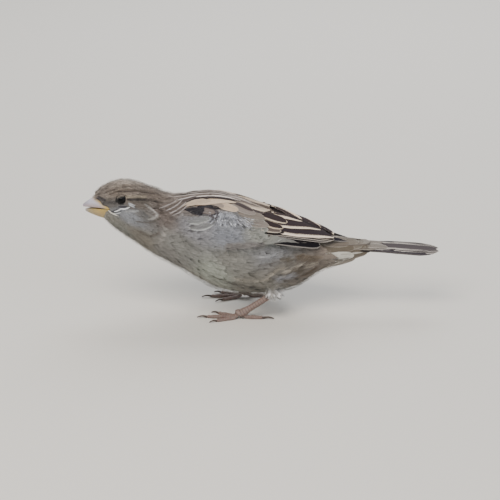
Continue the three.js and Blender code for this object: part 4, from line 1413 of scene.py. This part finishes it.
# Mantle and scapular feathers from the rear forwards, so that each lies over the one behind it.
BACK_FEATHERS = [
    ("shoulder fold", (-30, 65), (-19, 48), 2.6, 3, "#7c7d7d", "#adafaf", (0.2, 0, 0.03), "pointed"),
    ("shoulder fold", (-32, 58), (-19.5, 41), 2.8, 3, "#828484", "#babcbb", (0.24, 0, 0.03), "pointed"),
    ("rear covert", (-12, 41), (3, 39), 4.6, 0, "#837b74", "#9a928a", (0.08, 0, 0.04)),
    ("rear scapular", (-10, 30), (1.5, 29), 4.6, 0, "#81786f", "#9b9188", (0.08, 0.08, 0.05)),
    ("dark rear scapular", (-8, 20), (1.5, 20), 2.6, 0, "#3f3635", "#c0b2a2", (0, 0.2, 0.03)),
    ("cream mantle", (-14, 12.5), (6, 11.5), 3.9, 0, "#b3a28f", "#cfbfab", (0.2, 0.1, 0.05)),
    ("dark mantle", (-12, 5), (5, 3), 3, 0, "#50463f", "#a89b8f", (0.12, 0.3, 0.05)),
    ("grey scapular", (-14, 24), (-2.5, 26), 4.4, 0, "#7e756f", "#958d86", (0.08, 0.08, 0.05)),
    ("dark diagonal", (-15, 12), (-3.5, 22.5), 3.4, 0, "#3a3131", "#7c7169", (0.04, 0.25, 0.04)),
    ("mantle lines", (-18, 8.5), (-5, 4.5), 2.6, 0, "#4b413d", "#b5aaa2", (0, 0.36, 0.04)),
    ("ridge lines", (-17, 5), (-4, 4), 3.2, 0, "#564b45", "#a89f99", (0.04, 0.34, 0.04)),
    ("buff scapular", (-20.5, 24), (-9.8, 28.5), 4.3, 0, "#bca792", "#d6c6b2", (0.05, 0.05, 0.05)),
    ("scapular root", (-24, 25), (-15.5, 27), 3.4, 0, "#887b71", "#b7a694", (0.05, 0.05, 0.12)),
    ("dark scapular", (-24, 37), (-18, 40.5), 4.4, 0, "#423e41", "#5a5556", (0.04, 0.04, 0.03), "blunt"),
    ("brown scapular", (-27, 37), (-19.6, 37.5), 3.6, 0, "#6e6561", "#4b4243", (0.07, 0.1, 0.04)),
    ("black streak", (-27, 29), (-17.6, 31), 2.2, 0, "#262327", "#3d373a", (0.1, 0.1, 0.05), "pointed"),
    ("brace rear", (-25, 20), (-10.6, 15.5), 3.5, 0, "#c4b09a", "#8f7d6f", (0.07, 0, 0), "pointed"),
    ("mantle lines", (-29, 11.5), (-12, 7.5), 3.2, 0, "#3d3433", "#c6bdb7", (0, 0.3, 0.04)),
    ("ridge lines", (-26, 6), (-13, 5), 3.2, 0, "#51463f", "#a9a09b", (0.04, 0.36, 0.04)),
    ("black line", (-25, 14.5), (-10, 10.5), 2, 0, "#2f2726", "#3d3433", (0.1, 0.1, 0.03), "pointed"),
    ("pale line", (-25, 11), (-8.5, 6.5), 1.3, 0, "#beb5af", "#cbc2bc", (0.1, 0.1, 0.03), "pointed"),
    ("buff brace", (-30, 25), (-15, 20), 3.6, 0, "#c3af9a", "#927f70", (0.07, 0, 0), "pointed"),
    # painted shadow: a near-black wedge-shaped feather that stands for the shadow in the notch at the front
    # of the scapulars
    ("black wedge", (-33.6, 36.8), (-24.3, 39), 5.2, 0, "#242227", "#35313a", (0.05, 0.05, 0.03), "wedge"),
    ("mantle lines", (-34, 18), (-21, 11.5), 3, 2, "#3d3433", "#c2bab4", (0, 0.3, 0.04)),
    ("ridge lines", (-35, 8), (-22, 6), 3.2, 0, "#574c46", "#a59d98", (0.04, 0.34, 0.04)),
    ("pale line", (-33, 14.5), (-19.5, 10), 1.4, 0, "#beb5af", "#c9c0ba", (0.1, 0.1, 0.03), "pointed"),
    ("black line", (-33, 18.5), (-20, 14), 1.8, 0, "#2f2726", "#3d3433", (0.1, 0.1, 0.03), "pointed"),
    ("brace front", (-34.8, 36), (-21.5, 20), 2.9, -4, "#b9a693", "#cdbdaa", (0.04, 0.08, 0), "leaf"),
    ("mantle lines", (-36.5, 20), (-27, 10), 2.6, 2, "#4b423f", "#b3adaa", (0, 0.3, 0.04), "pointed"),
    ("neck lines", (-38.4, 52), (-31.4, 29), 1.7, 2, "#564d4a", "#aca6a4", (0.3, 0, 0.04), "pointed"),
    ("neck lines", (-40, 50), (-31.8, 22), 1.9, 2, "#5b524e", "#a7a19f", (0.3, 0, 0.04), "pointed"),
    ("neck lines", (-41.7, 47), (-33.2, 16), 1.9, 2, "#584f4b", "#aea8a6", (0.28, 0, 0.04), "pointed"),
    ("neck lines", (-43.4, 43), (-34.8, 10), 1.9, 2, "#665d58", "#a09a97", (0.28, 0, 0.04), "pointed"),
    ("ridge lines", (-42, 12), (-30, 6), 2.6, 0, "#655b55", "#9f9792", (0.04, 0.3, 0.04), "pointed"),
]


def spread_evenly(values, times):
    """The values smoothed along their first two axes, never below where they were."""
    rows, columns = values.shape
    for _ in range(times):
        padded = np.pad(values, 1, mode="edge")
        around = sum(padded[1 + i : rows + 1 + i, 1:-1] for i in (-1, 1))
        around += sum(padded[1:-1, 1 + j : columns + 1 + j] for j in (-1, 1))
        values = np.maximum(values, around / 4)
    return values


def blade_rows():
    """Share of a blade's length at each of its rows."""
    return 1 - (1 - np.linspace(0, 1, BLADE_ROWS)) ** BLADE_CLOSING


class Layers:
    """Long feathers laid one over another round the body, each clear of those below it."""

    def __init__(self, ground, side, drop):
        """drop: at each x, how far below the ground the lowest feathers may lie, both in millimetres."""
        points = np.array(ground.points)
        middle = np.stack([points[:, 0], np.zeros(len(points)), axis_height(points[:, 0])], axis=1)
        points -= unit(points - middle) * (along_table(points[:, 0] / MM, drop) * MM)[:, None]
        self.points, self.faces = points.tolist(), ground.triangles.tolist()
        self.tree, self.side = BVHTree.FromPolygons(self.points, self.faces), side

    def radius(self, x, turn):
        """Distance in millimetres from the axis to the outermost surface, for arrays of places."""
        found = []
        for a, b in zip(np.ravel(x), np.radians(np.ravel(turn))):
            middle = Vector((a * MM, 0, axis_height(a * MM)))
            way = Vector((0, self.side * math.sin(b), math.cos(b)))
            hit = self.tree.ray_cast(middle + way * RAY_START, -way, RAY_START)[0]
            found.append((hit - middle).length / MM if hit else 0)
        return np.reshape(found, np.shape(x))

    def lay(self, root, tip, width, bend, shape):
        """Grid of one long feather. The first column is its low, outer edge."""
        along = blade_rows()
        half = np.interp(along, *BLADE_SHAPES[shape]) * width / 2
        x = root[0] + (tip[0] - root[0]) * along
        turn = root[1] + (tip[1] - root[1]) * along + bend * np.sin(np.pi * along)
        radius = self.radius(x, turn)
        radius = np.maximum(radius, radius.max() * LEAST_RADIUS)
        for _ in range(2):
            radius[1:-1] = (radius[:-2] + 2 * radius[1:-1] + radius[2:]) / 4
        travel = np.stack([np.gradient(x), np.gradient(np.radians(turn) * radius)])
        travel /= np.linalg.norm(travel, axis=0)
        across = np.linspace(-1, 1, BLADE_COLUMNS)[None]
        away = across * half[:, None]
        grid_x = x[:, None] + away * travel[1][:, None]
        grid_turn = turn[:, None] - np.degrees(away * travel[0][:, None] / radius[:, None])
        camber = BLADE_CAMBER * width * (1 - across**2) * (half * 2 / width)[:, None]
        height = radius[:, None] + BLADE_RISE * along[:, None] + camber - BLADE_ROLL * across
        need = self.radius(grid_x, grid_turn) + BLADE_GAP - height
        height += spread_evenly(np.maximum(np.where(need < TOO_FAR, need, 0), 0), 10)
        height -= QUILL_SINK * np.clip(1 - along / QUILL_SHARE, 0, 1)[:, None] ** 2
        out = np.radians(grid_turn)
        way = np.stack([np.zeros_like(out), self.side * np.sin(out), np.cos(out)], axis=-1)
        middle = np.stack([grid_x * MM, np.zeros_like(out), axis_height(grid_x * MM)], axis=-1)
        grid = middle + way * height[..., None] * MM
        number = np.arange(out.size).reshape(out.shape) + len(self.points)
        self.faces += grid_quads(number).tolist()
        self.points += grid.reshape(-1, 3).tolist()
        self.tree = BVHTree.FromPolygons(self.points, self.faces)
        return grid


def painted(tone, *hex_colours):
    return [np.array([linear(hex_colour)]) * tone for hex_colour in hex_colours]


def middle_root(grid):
    return grid[0, :1, BLADE_COLUMNS // 2]


def lay_blades(vanes, layers, rows, rng, shared=COMMON_VANE):
    """Lays the blades of a table in turn; `shared` completes rows that leave out their last values."""
    for row in rows:
        _, root, tip, width, bend, heart, rim, rims, shape = row + shared[len(row) - OWN_VALUES :]
        length = math.hypot(tip[0] - root[0], (tip[1] - root[1]) * MM_PER_DEGREE)
        barbs = length / BLADE_BARB_SPACE / BARBS_STORED
        grid = layers.lay(root, tip, width, bend, shape)[None]
        tone = math.exp(rng.normal(0, 0.06))
        vanes.add(grid, *painted(tone, heart, rim), np.array([[*rims, barbs]]), middle_root(grid))


def solids(*names):
    return [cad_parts[name] for name in names]


class SPARROW_OT_back(bpy.types.Operator):
    """Streaked mantle feathers and scapulars, with the pale brace along each side of the back"""

    bl_idname = "sparrow.back"
    bl_label = "Mantle and scapulars"

    def execute(self, context):
        rng = seeded(3)
        blades = [bpy.data.objects[f"flight_feathers_{side}"] for side in SIDES]
        ground = Ground(*solids("neck", "trunk", "wing_left", "wing_right"), *blades)
        material = feather_material("Mantle feathers", 0.85, 0.08, 0.3, 0.05, 0.15)
        vanes = Vanes()
        for sign in SIDES.values():
            lay_blades(vanes, Layers(ground, sign, [(0, 0.1)]), BACK_FEATHERS, rng)
        vanes.build("mantle_feathers", material, "body_plumage")
        return {"FINISHED"}


WING_DROP = [(22, 0.5), (33, 1.5)]  # along the body, how far below the solids the lowest feathers may lie


class SPARROW_OT_wings(bpy.types.Operator):
    """Primaries, secondaries, tertials and greater coverts of both folded wings"""

    bl_idname = "sparrow.wings"
    bl_label = "Flight feathers"

    def execute(self, context):
        rng = seeded(1)
        ground = Ground(*solids("trunk", "tail_base", "wing_left", "wing_right"))
        material = feather_material("Flight feathers", 0.85, 0.1, 0.12, 0.0, 0.07, 9)
        layers = Layers(ground, SIDES["right"], WING_DROP)
        for side in ("right", "left"):
            layers.side = SIDES[side]
            vanes = Vanes()
            lay_blades(vanes, layers, FLIGHT_FEATHERS, rng)
            vanes.build(f"flight_feathers_{side}", material, "wing_feathers", f"wing_{side}")
        return {"FINISHED"}


# ---- Tail ----

TAIL_VANE = 4.7
# For each feather from the middle pair outwards: distance from the middle line at the tip in millimetres,
# how much shorter it is, colours of heart and edge, and the share of the vane that the edge takes.
TAIL_FEATHERS = [
    (0.5, 0.9, "#4c4749", "#b3ada6", 0.11),
    (1.5, 0.2, "#4a4546", "#bdb7b0", 0.16),
    (2.5, 1.0, "#3d3839", "#b5afa8", 0.11),
    (3.3, 2.2, "#343034", "#4a464b", 0.05),
    (3.9, 3.4, "#2f2b2f", "#77716d", 0.04),
    (4.3, 4.8, "#2a272b", "#1f1c20", 0.08),
]
# Long coverts that lie flat on the tail: where they start and end, distance from the middle line, height
# over the tail, width and colours.
LONG_COVERTS = [
    ((33, 51.5), 0.2, 0.15, 4.6, "#655e58", "#837c74"),
    ((34, 53.6), -1.9, 0.2, 4.4, "#756e66", "#99928a"),
    ((34, 52.0), 2.3, 0.2, 4.4, "#716a62", "#948d84"),
    ((33, 48.6), -3.4, 0.1, 4.0, "#645d55", "#878077"),
    ((33, 47.6), 3.4, 0.1, 4.0, "#645d55", "#878077"),
]
TAIL_ROLL = 0.13  # the tail is rolled a little, its left edge the lower one
# Height of the tail's upper side along it, in millimetres.
TAIL_TOP = [(30, 28.7), (46, 28.9), (55, 28.6), (65, 27.8), (73, 27.1), (76, 26.8)]
TAIL_STATIONS = 9
TAIL_STARTS = 5  # the feathers start this much in front of the tail's solid
TAIL_CLOSED = 0.45  # share of its distance from the middle line that a feather has at its root
TAIL_SUNK, TAIL_STEP = 0.1, 0.11  # the middle pair below the tail's top, and each next pair below it
TAIL_TILT, TAIL_TILT_STEP = 1, 0.9  # degrees, the same way
COVERT_CLOSED, COVERT_STANDS, COVERT_BOW, COVERT_TILT = 0.4, 0.45, 0.02, 0.05


def flat_blade(x, y, z, ups, width, camber, shape):
    """Grid of one tail feather on a spine, given in millimetres."""
    points = np.stack([x, y, z], axis=1) * MM
    along = blade_rows()
    half = np.interp(along, *BLADE_SHAPES[shape])
    stations = np.linspace(0, 1, len(points))
    middle = np.stack([np.interp(along, stations, points[:, i]) for i in range(3)], axis=1)
    across = np.linspace(-1, 1, BLADE_COLUMNS)[None, :, None]
    sideways = unit(np.cross(ups, unit(np.gradient(points, axis=0))))[0]
    wide = (half * width / 2 * MM)[:, None, None]
    lift = camber * MM * (1 - across**2) * half[:, None, None]
    return (middle[:, None] + sideways * across * wide + ups[0] * lift)[None]


def tilted(angle):
    """The upward direction at each station of a spine that is tilted by an angle."""
    return np.tile([0, math.sin(angle), math.cos(angle)], (TAIL_STATIONS, 1))


class SPARROW_OT_tail(bpy.types.Operator):
    """Twelve tail feathers, from the outer pair below to the middle pair on top, and the tail's coverts"""

    bl_idname = "sparrow.tail"
    bl_label = "Tail feathers"

    def execute(self, context):
        rng = seeded(2)
        material = feather_material("Tail feathers", 0.85, 0.1, 0.12, 0.0, 0.07)
        share = np.linspace(0, 1, TAIL_STATIONS)
        start, end = TAIL_BOX[0][0] / MM - TAIL_STARTS, TAIL_BOX[1][0] / MM
        vanes = Vanes()
        for k, (away, shorter, heart, edge, rim) in reversed(list(enumerate(TAIL_FEATHERS))):
            for sign in SIDES.values():
                x = start + (end - start - shorter) * share
                y = sign * away * (TAIL_CLOSED + (1 - TAIL_CLOSED) * share)
                z = along_table(x, TAIL_TOP) - TAIL_SUNK - TAIL_STEP * k + y * TAIL_ROLL
                tilt = sign * math.radians(TAIL_TILT + TAIL_TILT_STEP * k) - TAIL_ROLL
                grid = flat_blade(x, y, z, tilted(tilt), TAIL_VANE, 0.2, "tail")
                tone = math.exp(rng.normal(0, 0.05))
                rims = np.array([[rim, rim, 0.01, 1.5]])
                vanes.add(grid, *painted(tone, heart, edge), rims, middle_root(grid))
        vanes.build("tail_feathers", material, "tail_feathers", "tail")
        soft = feather_material("Tail coverts", 0.85, 0.07, 0.3)
        ground = Ground(*solids("trunk", "tail_base", "tail"))
        coverts = Vanes()
        for sign in SIDES.values():
            lay_blades(coverts, Layers(ground, sign, [(0, 0.8)]), TAIL_COVERTS, rng)
        for (start, end), away, over, width, heart, edge in reversed(LONG_COVERTS):
            x = start + (end - start) * share
            y = away * (COVERT_CLOSED + (1 - COVERT_CLOSED) * share)
            z = along_table(x, TAIL_TOP) + over + COVERT_STANDS * (1 - share)
            z += y * TAIL_ROLL - COVERT_BOW * y * y
            grid = flat_blade(x, y, z, tilted(COVERT_TILT * away - TAIL_ROLL), width, 0.3, "round")
            rims = np.array([[0.12, 0.12, 0.05, 0.8]])
            coverts.add(grid, *painted(1, heart, edge), rims, middle_root(grid))
        coverts.build("tail_coverts", soft, "body_plumage")
        return {"FINISHED"}


# ---- Bill ----

BILL_VOXEL = 0.13
NOSTRIL, NOSTRIL_SIZE, NOSTRIL_DEPTH = (-67.6, 49.6), (0.75, 0.32), 0.3
# The bill is broadest along the gape: a height and its spread, from a place along the bill on.
GAPE, GAPE_FROM, GAPE_BROADER, BILL_NARROWER = (46.5, 1.2), (-71, 6), 0.26, 0.08
# The soft gape swells a little: a height and its spread, from a place on, and how much.
SWELLING, SWELLING_FROM, SWELLING_HEIGHT = (46.6, 0.7), (-67.5, 2.5), 0.22
# The lower half is drawn down below a height, and its tip is lifted.
JAW_HEIGHT, JAW_DEEPER = 45.8, 0.14
JAW_TIP, JAW_LIFT = (-67.5, -4), 0.45
GROWTH = 0.008  # height of the horn's growth ridges


class SPARROW_OT_bill(bpy.types.Operator):
    """The two halves of the bill, with the yellow gape and the slit of the nostril"""

    bl_idname = "sparrow.bill"
    bl_label = "Bill"

    def execute(self, context):
        for half in ("upper", "lower"):
            piece = copy_of_node(f"bill_{half}")
            remesh(piece, 0, BILL_VOXEL * MM, 9)
            points = mesh_points(piece.data)
            x, _, z = points.T / MM
            points[:, 1] *= 1 + ramp(x, *GAPE_FROM) * (GAPE_BROADER * bell(z, *GAPE) - BILL_NARROWER)
            sunk = -SWELLING_HEIGHT * bell(z, *SWELLING) * ramp(x, *SWELLING_FROM)
            if half == "lower":
                points[:, 2] -= JAW_DEEPER * np.clip(JAW_HEIGHT - z, 0, 9) * MM
                points[:, 2] += JAW_LIFT * ramp(x, *JAW_TIP) * MM
            else:
                slit = np.hypot((x - NOSTRIL[0]) / NOSTRIL_SIZE[0], (z - NOSTRIL[1]) / NOSTRIL_SIZE[1])
                sunk += NOSTRIL_DEPTH * np.clip(1.2 - slit, 0, 1)
            ridges = np.sin(x * 9 + z * 4) * np.sin(z * 11 - x * 3)
            inwards = mesh_normals(piece.data) * (sunk + GROWTH * ridges)[:, None] * MM
            set_points(piece.data, points - inwards)
            colour_attribute(piece.data, "Horn", horn_colour(points, half))
            smooth_faces(piece, 70)
            piece.name = piece.data.name = f"bill_half_{half}"
            dress(piece, horn_material(f"Bill horn, {half}"), f"{half}_bill", f"bill_{half}")
        return {"FINISHED"}


def blend(base, paint_over, share):
    """The base with another colour over it, by a share for each point."""
    return base * (1 - share[:, None]) + np.array(paint_over) * share[:, None]


# The slit between the halves, a height at the tip and at the rear, and the height above it over which the
# upper bill turns darker and pinker, partly painted shade; then the band of painted shade along the slit,
# its height and spread, and how much darker it makes the horn.
SLIT_ENDS, EDGE_HEIGHT = [46.3, 46.6], 1.9
SLIT_SHADE_BAND, SLIT_SHADE_DEPTH = (46.35, 0.22), 0.45
YELLOW_STARTS, YELLOW_REACH = 0.6, 3.2  # millimetres in front of the feathers' edge


def horn_colour(points, half):
    """Lilac horn above, pinker along the cutting edge, and straw below, both yellow at the gape; the upper
    bill's light top and darker lower side, and the dark line along the slit, are painted light and shade.
    """
    paints = colours()
    x, _, z = points.T / MM
    ends = [corner[0] / MM for corner in BILL_BOX]
    back = ramp(x, ends[0], ends[1] - ends[0])
    if half == "upper":
        # from the lit top down to the cutting edge: the edge's own pinker horn, with painted light on top
        # and painted shade on the lower side
        edge_and_shade = np.clip(1 - (z - np.interp(x, ends, SLIT_ENDS)) / EDGE_HEIGHT, 0, 1)
        base = blend(np.array(paints.bill_horn), paints.bill_edge_and_shade, edge_and_shade)
        near_feathers = np.clip(1 - (bill_side(points) - YELLOW_STARTS) / YELLOW_REACH, 0, 1)
        yellow = near_feathers * ramp(z, 51.2, -1.8)
    else:
        base = blend(np.array(paints.bill_lower), paints.bill_straw, np.clip(1 - back * 1.7, 0, 1))
        yellow = ramp(back, 0.2, 0.5) * np.clip((z - 43.0) / 2.2, 0.25, 1)
    base = blend(base, paints.bill_yellow, yellow)
    base = blend(base, paints.bill_tip, ramp(back, 0.25, -0.25))
    # painted shade: the dark band along the slit between the halves
    line = bell(z, *SLIT_SHADE_BAND) * ramp(back, 0.15, 0.2)
    return base * (1 - SLIT_SHADE_DEPTH * line[:, None])


def horn_material(name):
    """Horn: smooth, a little waxy, with growth lines."""
    material, tree, principled = new_material(
        name, Roughness=0.38, IOR=KERATIN_IOR, Coat_Weight=0.15, Coat_Roughness=0.25,
        Subsurface_Weight=0.08, Subsurface_Scale=0.0006,
    )
    lines = fine_noise(tree, 900, 4.0, (0.35, 1, 1))
    mottled(tree, principled, attribute(tree, "Horn"), lines, 0.3, 0.85, 0.25, 0.05)
    return material


# ---- Eyes ----


class SPARROW_OT_eyes(bpy.types.Operator):
    """Dark wet eyes between narrow grey lids"""

    bl_idname = "sparrow.eyes"
    bl_label = "Eyes"

    def execute(self, context):
        # the wet surface of the eyeball
        wet = new_material(
            "Wet eye", Roughness=0.1, IOR=1.38, Specular_IOR_Level=0.22, Base_Color=(*colours().eye, 1)
        )[0]
        # bare skin of the lids
        lid_skin, tree, shader = new_material(
            "Bare eyelid", Roughness=0.7, Base_Color=(*colours().eyelid, 1)
        )
        add_bump(tree, shader, fine_noise(tree, 4000), 0.3, 0.05)
        for side, sign in SIDES.items():
            eye = add_ball(EYE_MIDDLES[side], EYE_RADIUS, 64, 40)
            eye.name = eye.data.name = f"eyeball_{side}"
            smooth_faces(eye, 60)
            dress(eye, wet, "eye", f"eye_{side}")
            lid = new_piece(f"eyelid_{side}", lid_mesh(side, sign))
            smooth_faces(lid, 60)
            dress(lid, lid_skin, "head_plumage")
        return {"FINISHED"}


LID_RINGS = [  # millimetres outside the opening, and height over the eyeball
    (-0.16, -0.12), (-0.12, 0.03), (-0.03, 0.09), (0.08, 0.09), (0.3, 0.03), (0.6, -0.02), (0.9, -0.15),
    (1.1, -0.5), (0.9, -0.9), (-0.05, -0.6),
]


def lid_mesh(side, sign):
    """A rolled rim of skin round the opening of an eye, resting on the eyeball."""
    turn = np.linspace(0, 2 * math.pi, 72, endpoint=False)
    rings = [on_eye(side, grow, turn, over)[0] for grow, over in LID_RINGS]
    number = np.arange(len(rings) * len(turn)).reshape(len(rings), len(turn))
    faces = grid_quads(np.pad(number, (0, 1), mode="wrap"))
    faces = faces if sign > 0 else faces[:, [0, 3, 2, 1]]
    mesh = bpy.data.meshes.new(f"eyelid_{side}")
    mesh.from_pydata(np.concatenate(rings).tolist(), [], faces.tolist())
    return mesh


# ---- Feet ----

UPRIGHT = 0.35  # an axis that runs less than this along the body has its upper end first


def long_axis(name):
    """The two ends of a CAD node's long axis, the rear or upper end first."""
    points = mesh_points(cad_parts[name].data)
    middle = points.mean(axis=0)
    axis = np.linalg.svd(points - middle, full_matrices=False)[2][0]
    reach = (points - middle) @ axis
    ends = np.array([middle + axis * reach.min(), middle + axis * reach.max()])
    first = 0 if abs(axis[0]) > UPRIGHT else 2
    return ends[np.argsort(-ends[:, first])]


def leg_material():
    """Scaly skin: brownish pink plates with darker creases between them."""
    material, tree, principled = new_material(
        "Scaly leg skin", Roughness=0.55, IOR=1.5, Subsurface_Weight=0.1, Subsurface_Scale=0.0004
    )
    crease = attribute(tree, "Crease", "Fac")
    base = mix_node(tree, crease, tuple(colours().leg), tuple(colours().leg_dark))
    mottled(tree, principled, base, fine_noise(tree, 1500), 0.4, 0.8, 0.3, 0.05)
    return material


PALM_RADIUS, PALM_SHAPE = 1.35, (1.15, 1.0, 0.8)
PALM_PLACE = (-0.6, 0, 0.35)  # from the lower end of the shank
TIP_RADIUS, TIP_INSIDE = 0.62, 0.35  # the toe's pad, and how far it lies from the claw's root
FOOT_SWELL = 0.1


def toe_tip(ball, claw):
    """The pad at the end of a toe, round the root of its claw."""
    ends = [Vector(end) for end in long_axis(claw)]
    root = min(ends, key=lambda end: (end - ball).length)
    return add_ball(root + (ball - root).normalized() * TIP_INSIDE * MM, TIP_RADIUS, 24, 16)


class SPARROW_OT_feet(bpy.types.Operator):
    """Scaled shanks and toes with pads, and curved claws"""

    bl_idname = "sparrow.feet"
    bl_label = "Feet"

    def execute(self, context):
        skin = leg_material()
        # dark horn
        horn, tree, shader = new_material(
            "Claw horn", Roughness=0.35, IOR=KERATIN_IOR, Base_Color=(*colours().claw, 1)
        )
        add_bump(tree, shader, fine_noise(tree, 2500, 2.0), 0.2, 0.05)
        for side in SIDES:
            limbs = [f"shank_{side}"] + [f"toe_{toe}_{side}" for toe in TOES]
            nodes = [f"claw_{toe}_{side}" for toe in TOES]
            ball = Vector(long_axis(limbs[0])[1]) + Vector(PALM_PLACE) * MM
            palm = add_ball(ball, PALM_RADIUS, 32, 20, PALM_SHAPE)
            tips = [toe_tip(ball, claw) for claw in nodes]
            foot = join([copy_of_node(name) for name in limbs] + [palm] + tips, f"foot_{side}")
            remesh(foot, FOOT_SWELL, sizes().foot_voxel, 5)
            scaled(foot, [long_axis(name) for name in limbs])
            smooth_faces(foot, 70)
            dress(foot, skin, "leg_skin", *limbs)
            claws = [copy_of_node(name) for name in nodes]
            for claw in claws:
                apply_modifier(claw, "SUBSURF", levels=3, render_levels=3)
            claws = join(claws, f"claws_{side}")
            smooth_faces(claws, 60)
            dress(claws, horn, "claw_horn", *nodes)
        return {"FINISHED"}


SHANK_SCUTE, TOE_SCUTE = 1.25, 0.72  # millimetres from plate to plate
CREASE_WIDTH = 0.13  # share of a plate
PLATE_HEIGHT, CREASE_DEPTH = 0.08, 0.07
SHANK_THICKER, HEEL_THICKER = 0.2, 0.3  # the second in a bell about a distance above the palm
HEEL_BELL = (1.5, 2.2)
PADS_FROM = (0.2, 0.5)  # how far down a surface faces before plates give way to pads, and over how much


def scaled(foot, axes):
    """Raises plates across shank and toes, and marks the creases between them."""
    points = mesh_points(foot.data)
    normals = mesh_normals(foot.data)
    best, below = (np.full(len(points), np.inf) for _ in range(2))
    travel, pitch = np.zeros(len(points)), np.ones(len(points))
    for i, (a, b) in enumerate(axes):
        way = b - a
        length = np.linalg.norm(way)
        share = ((points - a) @ way / length**2).clip(0, 1)
        away = np.linalg.norm(points - (a + share[:, None] * way), axis=1)
        closer = away < best
        best = np.where(closer, away, best)
        travel = np.where(closer, share * length / MM, travel)
        pitch = np.where(closer, TOE_SCUTE if i else SHANK_SCUTE, pitch)
        below = np.where(closer, np.inf if i else (1 - share) * length / MM, below)
    phase = (travel / pitch) % 1
    crease = np.clip(1 - np.minimum(phase, 1 - phase) / CREASE_WIDTH, 0, 1)
    under = ramp(-normals[:, 2], *PADS_FROM) * (pitch == TOE_SCUTE)
    raised = PLATE_HEIGHT * np.sin(np.pi * phase) ** 0.5 * (1 - under) - CREASE_DEPTH * crease
    thicker = SHANK_THICKER + HEEL_THICKER * bell(np.minimum(below, 20), *HEEL_BELL)
    raised += np.where(below < np.inf, thicker, 0)
    set_points(foot.data, points + normals * raised[:, None] * MM)
    crease *= 1 - 0.6 * under
    colour_attribute(foot.data, "Crease", np.repeat(crease[:, None], 3, axis=1))


# ---- Stage ----


class SPARROW_OT_stage(bpy.types.Operator):
    """Plain pale floor, soft light and the camera"""

    bl_idname = "sparrow.stage"
    bl_label = "Stage"

    def execute(self, context):
        settings = sizes()
        deselect()
        bpy.ops.mesh.primitive_plane_add(size=6)
        floor = bpy.context.object
        floor.name = "floor"
        # matt painted board
        board = new_material("Pale board", Roughness=0.9, Base_Color=(*colours().floor, 1))[0]
        floor.data.materials.append(board)
        world = bpy.context.scene.world or bpy.data.worlds.new("Studio")
        bpy.context.scene.world = world
        world.use_nodes = True
        background = world.node_tree.nodes["Background"]
        background.inputs["Color"].default_value = (*linear(SKY_COLOUR), 1)
        background.inputs["Strength"].default_value = SKY_STRENGTH
        for name, place, size, power, colour in LIGHTS:
            light = bpy.data.lights.new(name, "AREA")
            light.shape, light.size, light.energy, light.color = "SQUARE", size, power, linear(colour)
            link_aimed(bpy.data.objects.new(name, light), Vector(place), Vector(LIGHTS_AIM))
        lens = bpy.data.cameras.new("camera")
        lens.lens, lens.sensor_width, lens.clip_start = LENS, SENSOR, NEAREST_SEEN
        camera = bpy.data.objects.new("camera", lens)
        aim = Vector((settings.aim_x, 0, settings.aim_z))
        rise = settings.camera_rise
        away = settings.camera_distance * Vector((0, -math.cos(rise), math.sin(rise)))
        link_aimed(camera, aim + away, aim)
        bpy.context.scene.camera = camera
        return {"FINISHED"}


def link_aimed(piece, place, aim):
    """Puts a light or camera in the scene, looking from its place at the aim."""
    piece.location = place
    piece.rotation_euler = (aim - place).to_track_quat("-Z", "Y").to_euler()
    bpy.context.scene.collection.objects.link(piece)


LENS, SENSOR = 151.8, 36  # millimetres
NEAREST_SEEN = 0.01
SKY_COLOUR, SKY_STRENGTH = "#e9edf2", 0.55
LIGHTS_AIM = (0, 0, 0.025)
# Name, place, size in metres, power in watts and colour.
LIGHTS = [
    ("key", (-0.25, -0.55, 0.75), 0.6, 9.0, "#fff6ea"),
    ("fill", (0.6, -0.6, 0.35), 0.8, 2.5, "#eef3ff"),
    ("rim", (0.1, 0.6, 0.6), 0.6, 5.0, "#ffffff"),
]


# ---- Panel and registration ----

OPERATORS = [
    SPARROW_OT_skin,
    SPARROW_OT_bill,
    SPARROW_OT_coat,
    SPARROW_OT_tufts,
    SPARROW_OT_wings,
    SPARROW_OT_back,
    SPARROW_OT_tail,
    SPARROW_OT_eyes,
    SPARROW_OT_feet,
    SPARROW_OT_stage,
]


class SPARROW_PT_panel(bpy.types.Panel):
    """Lists the pieces and the settings of the sparrow"""

    bl_idname = "SPARROW_PT_panel"
    bl_label = "House sparrow"
    bl_space_type = "VIEW_3D"
    bl_region_type = "UI"
    bl_category = "Sparrow"

    def draw(self, context):
        column = self.layout.column()
        for operator in OPERATORS:
            column.operator(operator.bl_idname)
        for settings in (context.scene.sparrow_sizes, context.scene.sparrow_colours):
            column.separator()
            for name in settings.__annotations__:
                column.prop(settings, name)


CLASSES = [SparrowSizes, SparrowColours, *OPERATORS, SPARROW_PT_panel]


def register():
    for cls in CLASSES:
        bpy.utils.register_class(cls)
    bpy.types.Scene.sparrow_sizes = bpy.props.PointerProperty(type=SparrowSizes)
    bpy.types.Scene.sparrow_colours = bpy.props.PointerProperty(type=SparrowColours)


def unregister():
    del bpy.types.Scene.sparrow_sizes
    del bpy.types.Scene.sparrow_colours
    for cls in reversed(CLASSES):
        bpy.utils.unregister_class(cls)


def main():
    register()
    for operator in OPERATORS:
        group, name = operator.bl_idname.split(".")
        getattr(getattr(bpy.ops, group), name)()


if __name__ == "__main__":
    main()
